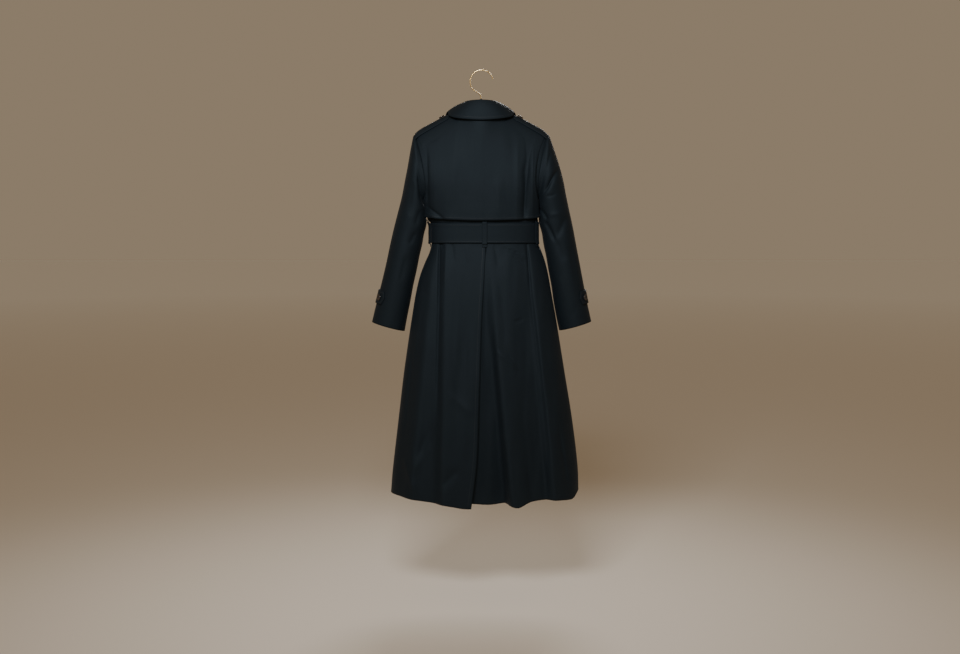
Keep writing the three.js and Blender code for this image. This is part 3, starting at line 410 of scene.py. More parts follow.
def curve(table, key, column):
    """A smooth curve through one column of a table, as a function of its key column."""
    turn = 1 if table[-1][key] > table[0][key] else -1
    keys = [turn * row[key] for row in table]
    values = [row[column] for row in table]
    last = len(keys) - 1
    around = [(max(n - 1, 0), min(n + 1, last)) for n in range(last + 1)]
    slopes = [(values[after] - values[before]) / (keys[after] - keys[before]) for before, after in around]

    def at(x):
        x = clamp(turn * x, keys[0], keys[-1])
        n = min(bisect_right(keys, x) - 1, last - 1)
        span = keys[n + 1] - keys[n]
        t = (x - keys[n]) / span
        blend = t * t * (3 - 2 * t)
        bend = slopes[n] * t * (1 - t) * (1 - t) - slopes[n + 1] * t * t * (1 - t)
        return values[n] * (1 - blend) + values[n + 1] * blend + span * bend

    return at


def curves(table, key):
    return {name: curve(table, key, name) for name in table[0] if name != key}


def other_side(row):
    """A row of the collar's table, turned to the wearer's left."""
    return {name: -value if name == "turn" or name.endswith("_x") else value for name, value in row.items()}


section = curves(SECTIONS, "z")
centre_back = curves(CENTRE_BACK, "z")
sleeve_row = {side: curves(SLEEVES[side], "ring") for side in SIDES}
cape_side = curves(CAPE_SIDES, "r")
collar_row = curves([other_side(row) for row in reversed(COLLAR[1:])] + COLLAR, "turn")


def crease(table, x, z):
    """How far the creases of a table move the cloth out at x and z. They fade a little past their ends."""
    out = 0.0
    for x1, z1, x2, z2, left, right, height in table:
        dx, dz = x2 - x1, z2 - z1
        long = sqrt(dx * dx + dz * dz)
        along = ((x - x1) * dx + (z - z1) * dz) / (long * long)
        if not -0.2 < along < 1.2:
            continue
        across = ((x - x1) * dz - (z - z1) * dx) / long * sign_of(dz)
        width = left if across < 0 else right
        if abs(across) > 3 * width:
            continue
        fade = ease(along, -0.18, 0.22) * (1 - ease(along, 0.72, 1.18))
        out += height * fade * mix(bell(across, width), bell(across, SHARP_WIDTH * width), SHARP_SHARE)
    return out


def hung(x, z, depth, seed):
    """The slow unevenness of hung cloth, long down its length and short across it."""
    wide = noise.noise(Vector((x / 46, z / 230, seed)))
    return depth * (wide + 0.5 * noise.noise(Vector((x / 21, z / 120, seed + 7))))


# ---- The body's surface
# A place on it is u, from 0 at the centre to 1 or -1 at the right or left edge, and r:
# 0 to 1 from the shoulder seam to the underarm, and 1 to 2 from there to the hem.

def rounding(u):
    return max(1 - min(abs(u), 1) ** ROUNDNESS, 0) ** (1 / ROUNDNESS)


def draw_in(r):
    return 1 - (1 - r) ** WIDTH_POWER


def level(r):
    return mix(UNDERARM, HEM, r - 1)


def half_width(side, r):
    return section[side](level(r)) if r >= 1 else mix(TIP_HALF, SECTIONS[0][side], draw_in(r))


def tip_drop(across):
    """The shoulder's end is rounded over."""
    return TIP_ROUND * ramp(across, TIP_HALF - TIP_ROUND_WIDTH, TIP_HALF) ** 2


def top_edge(u, is_back):
    """The height and depth of the neck and shoulder seams."""
    across = abs(u) * TIP_HALF
    if across >= NECK_HALF:
        return NECK_TOP - (across - NECK_HALF) * SHOULDER_SLOPE - tip_drop(across), 0
    share = across / NECK_HALF
    if not is_back:
        return NECK_TOP, 0
    return NECK_TOP - NECK_BACK_DROP * (1 - share * share), NECK_BACK_DEPTH * sqrt(1 - share * share)


def soft_top(u, is_back):
    """The same a little below the seams, where their corner has softened."""
    across = abs(u) * TIP_HALF
    beyond = NECK_SOFT * log(1 + exp((across - NECK_HALF) / NECK_SOFT))
    drop = NECK_BACK_DROP * bell(across, NECK_DROP_WIDTH) if is_back else 0
    depth = NECK_BACK_DEPTH * bell(across, NECK_DEPTH_WIDTH) if is_back else 0
    return NECK_TOP - drop - beyond * SHOULDER_SLOPE - tip_drop(across), depth


def fold_out(panel, x, z):
    """How far the skirt's folds move the cloth out. They grow toward the hem."""
    down = ramp(z, FOLD_TOP, HEM)
    out = 0
    for waist, hem, left, right, height in FOLDS[panel]:
        off = x - mix(waist, hem, down)
        width = (left if off < 0 else right) * mix(FOLD_WAIST_WIDTH, 1, down)
        out += height * down ** FOLD_GROWTH * bell(off, width)
    return out


def set_in(x, z):
    """The right back is set in beside the centre, and falls away further up to the edge of its pleat."""
    down = ramp(z, FOLD_TOP, HEM)
    edge = mix(SET_EDGE_WAIST, SET_EDGE_HEM, down)
    away = 0.6 + 1.0 * ramp(x, centre_back["x"](z), edge)
    return centre_back["set"](z) * away * (1 - ease(x, edge - mix(40, 20, ramp(down, 0, 0.4)), edge))


def lap_lift(x, z):
    """The right front laps over the left one."""
    return LAP_LIFT * (1 - ease(x, LAP_LIFT_FROM, LAP_LIFT_TO)) * ease(-z, -LAP_LIFT_TOP, -LAP_LIFT_FULL)


def hem_drop(panel, x):
    return sum(drop * bell(x - place, width) for place, width, drop in HEM_DROPS[panel])


def side_lift(side, u):
    lift, share = SIDE_LIFTS[side]
    return lift * bell(1 - abs(u), share)


def soft_side(z):
    """The cloth hangs down from the armhole's depth, and only meets the body's side above the belt."""
    return ARMHOLE_DEPTH * (1 - ease(-z, -SIDE_HANGS_FROM, -SIDE_HANGS_TO))


def body_point(panel, u, r, creased=True, loose=False):
    """A point of a body panel. The cape's cloth is loose, and leaves out the armhole's own curve."""
    face, side = panel.split("_")[0], side_of(u)
    is_back = face == "back"
    far = 0 if loose else ease(abs(u), 0.8, 1)
    x = u * half_width(side, r)
    round_here = rounding(u)
    if r < 1:
        (edge_z, edge_depth), (soft_z, soft_depth) = top_edge(u, is_back), soft_top(u, is_back)
        soft = ease(r, 0, SEAM_SOFT)
        z = mix(mix(edge_z, soft_z, soft), UNDERARM, r)
        side_depth = mix(soft_side(z), ARMHOLE_DEPTH * sqrt(1 - r ** 4), far)
        whole = mix(side_depth, SECTIONS[0][face], round_here)
        depth = mix(mix(edge_depth, soft_depth, soft), whole, draw_in(r) ** DEPTH_POWER)
    else:
        z = level(r)
        depth = mix(soft_side(z) * (1 - far), section[face](z), round_here)
    out = fold_out(panel, x, z)
    if creased and r > 0.1:
        wave = mix(PANEL_WAVE, SKIRT_WAVE, ramp(z, -530, -800))
        out += (crease(CREASES[panel], x, z) + hung(x, z, wave, SEEDS[face])) * ease(r, 0.1, 0.3)
    out *= min(round_here * EDGE_FADE, 1)
    if panel == "back_right" and r >= 1:
        out -= set_in(x, z)
    if panel == "front_right":
        out += lap_lift(x, z)
    drop = hem_drop(panel, x) * round_here - side_lift(side, u)
    return Vector((x, (-1 if is_back else 1) * (depth + out), z - max(r - 1, 0) * drop))


def place_of(panel, x, z):
    """The place u, r of a point given by x and z."""
    is_back = panel.startswith("back")
    side = side_of(x)
    if z <= UNDERARM:
        r = 1 + (UNDERARM - z) / (UNDERARM - HEM)
        return x / half_width(side, r), r
    u, r = x / TIP_HALF, 0
    for _ in range(6):
        top = mix(top_edge(u, is_back)[0], soft_top(u, is_back)[0], ease(r, 0, SEAM_SOFT))
        r = clamp((z - top) / (UNDERARM - top))
        u = x / half_width(side, r)
    return u, r


def normal_of(surface, a, b, outward, da, db, low=(-9e9, -9e9), high=(9e9, 9e9)):
    """The unit normal of surface(a, b), on the side that outward points to, from steps of da and db
    that stay between low and high."""
    a1, a2 = max(a - da, low[0]), min(a + da, high[0])
    b1, b2 = max(b - db, low[1]), min(b + db, high[1])
    normal = (surface(a2, b) - surface(a1, b)).cross(surface(a, b2) - surface(a, b1)).normalized()
    return -normal if normal.dot(outward) < 0 else normal


def on_body(panel, x, z, out):
    """A point that lies on a body panel, moved out from it, and the normal there."""
    def surface(px, pz):
        return body_point(panel, *place_of(panel, px, pz))

    outward = Vector((0, -1 if panel.startswith("back") else 1, 0))
    normal = normal_of(surface, x, z, outward, 2, 2)
    return surface(x, z) + normal * out, normal


# ---- Cloth pieces

def run_along(line):
    """How far each point of a line lies from its start, measured along it."""
    return list(accumulate(((after - before).length for before, after in zip(line, line[1:])), initial=0.0))


surfaces = {}


def keep(piece, node):
    """Rides the whole part's body and stands for its CAD node, which it hides."""
    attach(piece, "root")
    if node:
        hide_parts(node)


def object_from(shape, name, *finish_names):
    """Makes an object of a shape that is done, in its finishes."""
    mesh = bpy.data.meshes.new(name)
    shape.to_mesh(mesh)
    shape.free()
    for finish_name in finish_names:
        mesh.materials.append(finishes[finish_name])
    return new_object(name, mesh)


def cloth_piece(node, across, down, place, gauge, about, tube=False):
    """A grid of cloth whose points follow place(share across, share down), with its wall on the inner side.
    about is a point inside it, so that its faces can be turned away from there."""
    spots = [[place(i / across, j / down) for j in range(down + 1)] for i in range(across + 1)]
    run_across, run_down = [run_along(line) for line in zip(*spots)], [run_along(line) for line in spots]
    shape = bmesh.new()
    bmesh.ops.create_grid(shape, x_segments=across, y_segments=down, size=0.5)
    weave = shape.loops.layers.uv.new("weave")
    cell = {}
    for vert in shape.verts:
        i, j = round((vert.co.x + 0.5) * across), round((0.5 - vert.co.y) * down)
        cell[vert] = (i, j)
        vert.co = spots[i][j] * MM
    for face in shape.faces:
        face.smooth = True
        for loop in face.loops:
            i, j = cell[loop.vert]
            loop[weave].uv = (run_across[j][i] * MM, run_down[i][j] * MM)
    if tube:
        bmesh.ops.remove_doubles(shape, verts=shape.verts, dist=1e-5)
    shape.normal_update()
    inside = Vector(about) * MM
    lean = sum(f.normal.dot(f.calc_center_median() - inside) * f.calc_area() for f in shape.faces)
    if lean < 0:
        bmesh.ops.reverse_faces(shape, faces=shape.faces)
    piece = object_from(shape, node + "_cloth", "cloth")
    wall = piece.modifiers.new("wall", "SOLIDIFY")
    wall.thickness = gauge * MM
    wall.offset = -1
    surfaces[node] = (place, Vector(about))
    keep(piece, node)


# ---- Finishes

def fill(tree, node, inputs):
    """Sets a node's inputs to values, or links them to the outputs of other nodes."""
    for name, value in inputs.items():
        if isinstance(value, bpy.types.NodeSocket):
            tree.links.new(value, node.inputs[name])
        else:
            node.inputs[name].default_value = value


def new_node(tree, kind, inputs, **settings):
    node = tree.nodes.new(kind)
    for name, value in settings.items():
        setattr(node, name, value)
    fill(tree, node, inputs)
    return node


def sum_of(tree, operation, *inputs):
    return new_node(tree, "ShaderNodeMath", dict(enumerate(inputs)), operation=operation).outputs[0]


def new_group(name, inputs, outputs):
    """A node group of plain numbers, what is given to it, and the node that takes what comes out."""
    group = bpy.data.node_groups.new(name, "ShaderNodeTree")
    for title, value in inputs.items():
        socket = group.interface.new_socket(title, in_out="INPUT", socket_type="NodeSocketFloat")
        socket.default_value = value
    for title in outputs:
        group.interface.new_socket(title, in_out="OUTPUT", socket_type="NodeSocketFloat")
    return group, new_node(group, "NodeGroupInput", {}).outputs, new_node(group, "NodeGroupOutput", {})


TWILL_SLANT = (0.91, 0.41, 0)
RIB_HEIGHT = 0.16


def gabardine_group():
    """Steep twill lines along the weave, the slubs of its yarn, and slow handled waves in its surface."""
    group, given, result = new_group(
        "gabardine", {"Lines per metre": 1700.0, "Slub": 0.35, "Handling": 0.5}, ("Height", "Shade")
    )
    weave = new_node(group, "ShaderNodeUVMap", {}, uv_map="weave").outputs["UV"]
    place = new_node(group, "ShaderNodeTexCoord", {}).outputs["Object"]

    slant = new_node(group, "ShaderNodeVectorMath", {0: weave, 1: TWILL_SLANT}, operation="DOT_PRODUCT")
    count = sum_of(group, "MULTIPLY", slant.outputs["Value"], given["Lines per metre"])
    twill = sum_of(group, "SINE", sum_of(group, "MULTIPLY", count, 2 * pi))
    yarn_inputs = {"Vector": weave, "Scale": 900, "Detail": 2}
    yarn = new_node(group, "ShaderNodeTexNoise", yarn_inputs).outputs["Fac"]
    slow_inputs = {"Vector": place, "Scale": 16, "Detail": 3, "Roughness": 0.55}
    slow = new_node(group, "ShaderNodeTexNoise", slow_inputs).outputs["Fac"]

    ribs = sum_of(group, "MULTIPLY_ADD", twill, RIB_HEIGHT, sum_of(group, "MULTIPLY", yarn, given["Slub"]))
    height = sum_of(group, "ADD", ribs, sum_of(group, "MULTIPLY", slow, given["Handling"]))
    shade = sum_of(group, "MULTIPLY_ADD", slow, 0.5, sum_of(group, "MULTIPLY", yarn, 0.5))
    fill(group, result, {"Height": height, "Shade": shade})
    return group


def speckle_group():
    """Fine uneven grain for moulded and metal pieces."""
    group, given, result = new_group("fine_grain", {"Scale": 400.0, "Stretch": 1.0}, ("Grain",))
    place = new_node(group, "ShaderNodeTexCoord", {}).outputs["Object"]
    squeeze = new_node(group, "ShaderNodeCombineXYZ", {"X": 1, "Y": 1, "Z": given["Stretch"]}).outputs[0]
    scaled = new_node(group, "ShaderNodeVectorMath", {0: place, 1: squeeze}, operation="MULTIPLY")
    speckle_inputs = {"Vector": scaled.outputs[0], "Scale": given["Scale"], "Detail": 4}
    fill(group, result, {"Grain": new_node(group, "ShaderNodeTexNoise", speckle_inputs).outputs["Fac"]})
    return group


def colour_between(tree, factor, dark, light):
    colours = {"Factor": factor, "A": (*dark, 1), "B": (*light, 1)}
    return new_node(tree, "ShaderNodeMix", colours, data_type="RGBA").outputs["Result"]


def range_between(tree, factor, low, high):
    limits = {"Value": factor, "To Min": low, "To Max": high}
    return new_node(tree, "ShaderNodeMapRange", limits).outputs["Result"]


def bump_of(tree, height, strength, distance):
    relief = {"Height": height, "Strength": strength, "Distance": distance}
    return new_node(tree, "ShaderNodeBump", relief).outputs["Normal"]


def new_finish(name):
    finish = bpy.data.materials.new(name)
    finish.use_nodes = True
    return finish, finish.node_tree, finish.node_tree.nodes["Principled BSDF"]


GABARDINE = gabardine_group()
GRAIN = speckle_group()


def cloth_finish(name, dark, light, lines, sheen):
    finish, tree, shader = new_finish(name)
    weave = new_node(tree, "ShaderNodeGroup", {"Lines per metre": lines}, node_tree=GABARDINE).outputs
    fill(tree, shader, {
        "Base Color": colour_between(tree, weave["Shade"], dark, light),
        "Roughness": range_between(tree, weave["Shade"], 0.6, 0.7),
        "Specular IOR Level": 0.19,
        "Specular Tint": (0.68, 0.86, 1, 1),
        "Sheen Weight": sheen,
        "Sheen Roughness": 0.45,
        "Sheen Tint": (0.75, 0.85, 1, 1),
        "Normal": bump_of(tree, weave["Height"], 0.35, 0.0006),
    })
    return finish


def moulded_finish(name, dark, light, roughness, scale, metallic=0.0, coat=0.0, stretch=1.0):
    finish, tree, shader = new_finish(name)
    grain_inputs = {"Scale": scale, "Stretch": stretch}
    grain = new_node(tree, "ShaderNodeGroup", grain_inputs, node_tree=GRAIN).outputs["Grain"]
    fill(tree, shader, {
        "Base Color": colour_between(tree, grain, dark, light),
        "Roughness": range_between(tree, grain, roughness - 0.06, roughness + 0.08),
        "Metallic": metallic,
        "Coat Weight": coat,
        "Coat Roughness": 0.12,
        "Normal": bump_of(tree, grain, 0.1, 0.0003),
    })
    return finish


finishes = {
    "cloth": cloth_finish("navy_gabardine", (0.0045, 0.0072, 0.0102), (0.0078, 0.0115, 0.0155), 1700, 0.02),
    "thread": moulded_finish("navy_thread", (0.008, 0.010, 0.014), (0.018, 0.022, 0.028), 0.6, 2500),
    "button": moulded_finish("dark_horn", (0.006, 0.005, 0.006), (0.03, 0.021, 0.02), 0.28, 90, coat=0.4),
    "buckle": moulded_finish("dark_covered_buckle", (0.009, 0.010, 0.012), (0.02, 0.021, 0.024), 0.4, 700),
    "hanger": moulded_finish("dark_hanger", (0.010, 0.010, 0.011), (0.022, 0.022, 0.024), 0.42, 300),
    "hook": moulded_finish(
        "gold_wire", (0.62, 0.42, 0.17), (0.86, 0.64, 0.31), 0.22, 600, metallic=1.0, stretch=0.2
    ),
}


# ---- Body panels

NECK_SPLIT = 5 / 14
PANEL_SPLIT = 0.27


def toward_side(t):
    return sin(t * pi / 2)


def as_share(x, sign, r):
    return sign * x / half_width(side_of(x), r)


def back_column(sign, t, r):
    """The back's columns meet the neck point at the top and spread evenly below."""
    neck = NECK_HALF / TIP_HALF
    if t <= NECK_SPLIT:
        top = neck * sin(t / NECK_SPLIT * pi / 2)
    else:
        top = mix(neck, 1, toward_side((t - NECK_SPLIT) / (1 - NECK_SPLIT)))
    z = mix(NECK_TOP - NECK_BACK_DROP, UNDERARM, r) if r < 1 else level(r)
    lap = centre_back["lap"](z) if sign > 0 else 0
    centre = as_share(centre_back["x"](z) - lap, sign, r)
    return mix(top, mix(centre, 1, toward_side(t)), ease(r, 0, 0.75))


def front_column(sign, t, r):
    z = mix(NECK_TOP, UNDERARM, r) if r < 1 else level(r)
    edge = as_share(sign * mix(NECK_HALF, -FRONT_LAP, ramp(z, NECK_TOP, ROLL_BREAK)), sign, r)
    return mix(edge, 1, toward_side(t))


def row_at(share):
    """Rows lie closest at the shoulder seam, where the cloth turns over fastest."""
    if share < PANEL_SPLIT:
        return (share / PANEL_SPLIT) ** 1.5
    return 1 + (share - PANEL_SPLIT) / (1 - PANEL_SPLIT)


def seam_dip(t, r):
    """The cloth dips into its seam at the side below the underarm."""
    return 0.9 * bell(1 - t, 0.03) * ease(r, 0.95, 1.05)


def panel_point(panel, t, share):
    sign = SIDES[panel.split("_")[1]]
    column = back_column if panel.startswith("back") else front_column
    r = row_at(share)
    point = body_point(panel, sign * clamp(column(sign, t, r), -1, 1), r)
    dip = seam_dip(t, r)
    if dip > 0.01:
        point.x -= sign * dip
    return point


for panel in ("back_left", "back_right", "front_left", "front_right"):
    cloth_piece(panel, 76, 236, partial(panel_point, panel), CLOTH, (0, 0, -700))


# ---- Sleeves

def sleeve_point(side, angle, ring):
    """A place on a sleeve: the angle from its outer edge toward the back, and the ring, 1 or more."""
    sign = SIDES[side]
    value = {name: at(ring) for name, at in sleeve_row[side].items()}
    share = (1 - cos(angle)) / 2
    edge_y = -ARMHOLE_DEPTH * 0.86 * sin(angle)
    y = mix(-value["depth"] * sin(angle), edge_y, clamp((3 - ring) * 0.3))
    return Vector((
        sign * mix(value["out_x"], value["in_x"], share),
        y + value["forward"],
        mix(value["out_z"], value["in_z"], share),
    ))


def sleeve_normal(side, angle, ring):
    centre = (sleeve_point(side, 0, ring) + sleeve_point(side, pi, ring)) / 2
    outward = sleeve_point(side, angle, ring) - centre
    return normal_of(
        lambda a, k: sleeve_point(side, a, k), angle, ring, outward, 0.05, 0.2, (-99, 1), (99, CUFF_RING)
    )


def armhole_point(side, angle):
    """The armhole's own edge, from the shoulder tip round by the back."""
    turn = (angle / (2 * pi)) % 1
    back = turn <= 0.5
    share = 2 * turn if back else 2 - 2 * turn
    r = (1 - cos(pi * share)) / 2
    sign = SIDES[side]
    return body_point(("back_" if back else "front_") + side, sign, r, creased=False)


def sleeve_surface(side, around, share):
    """A sleeve's cloth, which turns from the armhole's edge into the first ring without a crease."""
    angle = around * 2 * pi
    ring = share * CUFF_RING
    if ring < 1:
        start, end = armhole_point(side, angle), sleeve_point(side, angle, 1)
        ahead = sleeve_point(side, angle, 1.08) - end
        control = end - ahead * (0.5 / 0.08)
        return start * (1 - ring) ** 2 + control * 2 * ring * (1 - ring) + end * ring * ring
    point = sleeve_point(side, angle, ring)
    x = abs(point.x)
    facing = abs(sin(angle)) ** 0.6
    z = point.z if sin(angle) > 0 else point.z + 24
    wave = hung(z * 0.5 + x, x, SLEEVE_WAVE, SEEDS["sleeve"])
    out = (crease(CREASES["sleeve_" + side], x, z) + wave) * facing
    out += 1.1 * bell(ring - 6, 2.2) * sin(ring * 3.1 + angle) * max(-cos(angle), 0)
    out *= 1 - 0.8 * bell(ring - STRAP_RING, 3 * STRAP_HALF)
    if abs(out) < 0.02:
        return point
    return point + sleeve_normal(side, angle, ring) * out * ease(ring, 1, 1.6)


for side, sign in SIDES.items():
    place = partial(sleeve_surface, side)
    cloth_piece("sleeve_" + side, 72, 130, place, CLOTH, (sign * 250, 8, -490), tube=True)


# ---- Collar

def collar_place(turn, kind):
    return Vector([collar_row[kind + axis](turn) for axis in ("_x", "_y", "_z")])


def fall_point(a, share):
    turn = mix(-COLLAR_END, COLLAR_END, a)
    fold, edge = collar_place(turn, "fold"), collar_place(turn, "edge")
    out = Vector((sin(radians(turn)), -cos(radians(turn)), 0.7)).normalized()
    middle = fold.lerp(edge, 0.42) + out * COLLAR_BULGE
    point = fold * (1 - share) ** 2 + middle * 2 * share * (1 - share) + edge * share * share
    wave = 1.1 * sin(radians(turn) * 3.1 + 0.6) * share * ease(abs(turn), 10, 60)
    return point + out * wave


def stand_point(a, b):
    turn, share = mix(-COLLAR_END, COLLAR_END, a), b * STAND_SHARE
    point = collar_place(turn, "seam").lerp(collar_place(turn, "fold"), share)
    inward = Vector((-sin(radians(turn)), cos(radians(turn)), 0))
    return point + Vector((0, 0, 0.6)) + inward * (1 + 2.2 * share)


cloth_piece("collar_fall", 120, 24, fall_point, COLLAR_CLOTH, (0, 0, -170))
cloth_piece("collar_stand", 100, 10, stand_point, COLLAR_CLOTH, (0, 10, -120))


# ---- Storm cape

def cape_end(across):
    corner = mix(CAPE_HEM_CENTRE, CAPE_HEM_CORNER, abs(across) ** 1.5)
    return 1 + (UNDERARM - corner) / (UNDERARM - HEM)


def cape_base(across, row):
    side = side_of(across)
    r = row if row <= 1 else mix(1, cape_end(across), row - 1)
    narrow = mix(1, cape_side[side](r), ease(abs(across), 0.5, 1))
    u = SIDES[side] * back_column(SIDES[side], abs(across), min(r, 1)) * narrow
    return body_point("back_" + side, u, r, creased=False, loose=True), r


def cape_place(a, b):
    across = 2 * a - 1
    down = b * (1 + CAPE_LOW_ROWS)
    row = down ** 1.5 if down <= 1 else 1 + (down - 1) / CAPE_LOW_ROWS
    half = (0, 1) if across >= 0 else (-1, 0)
    normal = normal_of(lambda s, d: cape_base(s, d)[0], across, row, Vector((0, -1, 0.2)),
                       0.02, 0.02, (half[0], 0), (half[1], 1 if row < 1 else 2))
    point, r = cape_base(across, row)
    if row < 0.004 and abs(point.x) > NECK_HALF - 1:
        normal = Vector((sign_of(across) * SHOULDER_SLOPE, 0, 1)).normalized()
    hang = CAPE_HANG * ease(r, 0.1, 0.85) * (1 - 0.3 * (1 - abs(across)))
    hang *= mix(1, CAPE_SIDE_HANG, ease(abs(across), 0.8, 1))
    wave = crease(CREASES["cape"], point.x, point.z) * ease(r, 0.01, 0.05)
    wave += hung(point.x, point.z, CAPE_WAVE, SEEDS["cape"]) * ease(r, 0.1, 0.4)
    lip = 0.8 * ease(row, 1.75, 2)
    return point + normal * (LAYER_GAP + TAB_CLOTH + hang + max(wave, -hang - 0.2) + lip)


cloth_piece("back_cape", 130, 96, cape_place, TAB_CLOTH, (0, 0, -300))


# ---- Belt and its loops

def waist_normal(angle, half=WAIST_HALF, depth=WAIST_DEPTH):
    turn = radians(angle)
    power = 2 - 2 / ROUNDNESS
    x, y = signed_power(cos(turn), power) / half, signed_power(sin(turn), power) / depth
    return Vector((x, y, 0)).normalized()


def waist_point(angle, z, out):
    """A point round the waist, where the belt also rises over the right front's lap."""
    turn = radians(angle)
    is_back = sin(turn) < 0
    half = section[side_of(cos(turn))](z)
    depth = section["back" if is_back else "front"](z)
    x = signed_power(cos(turn), 2 / ROUNDNESS) * half
    y = signed_power(sin(turn), 2 / ROUNDNESS) * depth
    lift = 0 if is_back else LAP_LIFT * ease(x, -122, -88) * (1 - ease(x, 100, 134))
    return Vector((x, y, z)) + waist_normal(angle, half, depth) * (out + lift)


def belt_place(a, b):
    angle = mix(BELT_START, BELT_END, a)
    over = ease(-angle, -BELT_OVER_FROM, -BELT_OVER_TO) * (BELT_CLOTH + LAYER_GAP)
    slack = 0.5 + 0.5 * sin(radians(angle) * 5 + 0.8) + 0.175 * sin(radians(angle) * 9 + 2 * b)
    return waist_point(angle, mix(BELT_TOP, BELT_BOTTOM, b), BELT_CLEAR + BELT_CLOTH + over + slack)


cloth_piece("belt", 300, 14, belt_place, BELT_CLOTH, BELT_MIDDLE)
loop_arch = curve(LOOP_ROWS, "z", "arch")


def loop_point(loop, a, b):
    z = mix(LOOP_ROWS[0]["z"], LOOP_ROWS[-1]["z"], b)
    arch = clamp(loop_arch(z))
    normal = waist_normal(loop["angle"])
    middle = waist_point(loop["angle"], z, LOOP_CLEAR + TAB_CLOTH + arch * loop["reach"])
    turn = radians(loop["twist"] * sign_of(normal.x)) * arch
    beside = Vector((-normal.y, normal.x, 0)) * cos(turn) + normal * sin(turn)
    return middle + beside * (2 * a - 1) * LOOP_HALF_WIDTH + normal * 0.3 * sin(a * pi)


for loop in LOOPS:
    cloth_piece(loop["name"], 8, 60, partial(loop_point, loop), TAB_CLOTH, BELT_MIDDLE)


# ---- Lapels, epaulettes, sleeve straps and pocket welts

def lapel_point(side, a, b):
    in_z = mix(LAPEL_TOP_IN, LAPEL_ENDS[side], b)
    rise = ramp(in_z, ROLL_BREAK, LAPEL_TOP_IN)
    out_z = mix(ROLL_BREAK, LAPEL_TOP_OUT, rise ** 0.95)
    roll = mix(NECK_HALF, -FRONT_LAP, ramp(in_z, NECK_TOP, ROLL_BREAK))
    width = mix(LAPEL_POINT, LAPEL_WIDTH, sin(min(rise * 1.08, 1) * pi / 2))
    x = SIDES[side] * (roll + 0.8 + a * width)
    lift = 1.6 * sin(a * pi) + 1.2 * a
    return on_body("front_" + side, x, mix(in_z, out_z, a), LAPEL_CLEAR + CLOTH + lift)[0]


for side in SIDES:
    cloth_piece("lapel_" + side, 30, 60, partial(lapel_point, side), CLOTH, (0, -60, -300))


def ridge_point(x, y):
    """A point on the shoulder, found by undoing the way a panel deepens below its seam."""
    section_depth = mix(ARMHOLE_DEPTH, SECTIONS[0]["back"], rounding(x / TIP_HALF))
    share = min(abs(y) / section_depth, 0.95) ** (1 / DEPTH_POWER)
    r = 1 - (1 - share) ** (1 / WIDTH_POWER)
    return Vector((x, y, mix(top_edge(x / TIP_HALF, False)[0], UNDERARM, r)))


def epaulette_point(side, a, b):
    across = 2 * b - 1
    point = EPAULETTE_INNER - EPAULETTE_POINT * (1 - abs(across))
    x = SIDES[side] * mix(TIP_HALF - 2, point, a)
    y = across * mix(EPAULETTE_HALF_OUTER, EPAULETTE_HALF_INNER, a)
    normal = normal_of(ridge_point, x, y, Vector((0, 0, 1)), 1, 1)
    lift = 2 * (LAYER_GAP + TAB_CLOTH) + 0.8 * sin(a * pi) * (1 - across * across)
    return ridge_point(x, y) + normal * lift


for side in SIDES:
    cloth_piece("epaulette_" + side, 40, 18, partial(epaulette_point, side), TAB_CLOTH, (0, 0, -420))


def strap_point(side, a, b):
    across = 2 * b - 1
    angle = radians(mix(STRAP_TIP - STRAP_TIP_CUT * abs(across), STRAP_END, a))
    ring = STRAP_RING + across * STRAP_HALF
    out = LAYER_GAP + STRAP_CLEAR * (1 - ease(a, 0.7, 1)) + TAB_CLOTH + 1.6 * bell(angle, 0.9)
    return sleeve_point(side, angle, ring) + sleeve_normal(side, angle, ring) * out


def welt_point(side, a, b):
    sign, slant = SIDES[side], radians(WELT_SLANT)
    across, along = (a - 0.5) * WELT_WIDTH, (0.5 - b) * WELT_LENGTH
    x = WELT_X + across * cos(slant) - along * sin(slant)
    z = WELT_Z + along * cos(slant) + across * sin(slant)
    return on_body("front_" + side, sign * x, z, 2 * LAYER_GAP + CLOTH)[0]


for side, sign in SIDES.items():
    strap, welt = partial(strap_point, side), partial(welt_point, side)
    cloth_piece("sleeve_strap_" + side, 90, 10, strap, TAB_CLOTH, (sign * 272, 20, -688))
    cloth_piece("pocket_welt_" + side, 10, 50, welt, CLOTH, (0, -60, -668))


# ---- Stitching

def stitch_run(shape, node, ends):
    """Sews a row of stitches along a straight line in a piece's own shares, ends = (a1, b1, a2, b2)."""
    place, about = surfaces[node]
    a1, b1, a2, b2 = ends
    count = 60
    line = [place(mix(a1, a2, n / count), mix(b1, b2, n / count)) for n in range(count + 1)]
    runs = run_along(line)
    for k in range(int(runs[-1] / STITCH_PITCH)):
        reach = (k + 0.5) * STITCH_PITCH
        n = min(bisect_right(runs, reach) - 1, count - 1)
        share = (n + (reach - runs[n]) / max(runs[n + 1] - runs[n], 1e-6)) / count
        a, b = mix(a1, a2, share), mix(b1, b2, share)
        point = place(a, b)
        normal = normal_of(place, a, b, point - about, 0.006, 0.006, (0, 0), (1, 1))
        ahead = (line[n + 1] - line[n]).normalized()
        beside = normal.cross(ahead).normalized()
        turn = Matrix((ahead * STITCH_LONG, beside * STITCH_WIDE, normal * STITCH_WIDE)).transposed()
        spot = Matrix.Translation((point + normal * STITCH_OUT) * MM) @ (turn * MM).to_4x4()
        bmesh.ops.create_cube(shape, size=1, matrix=spot)


def sew(node, *lines):
    """Joins a cloth piece's rows of stitches into one piece of thread that goes with it."""
    shape = bmesh.new()
    for line in lines:
        stitch_run(shape, node, line)
    threads[node] = object_from(shape, node + "_stitches", "thread")
    keep(threads[node], None)


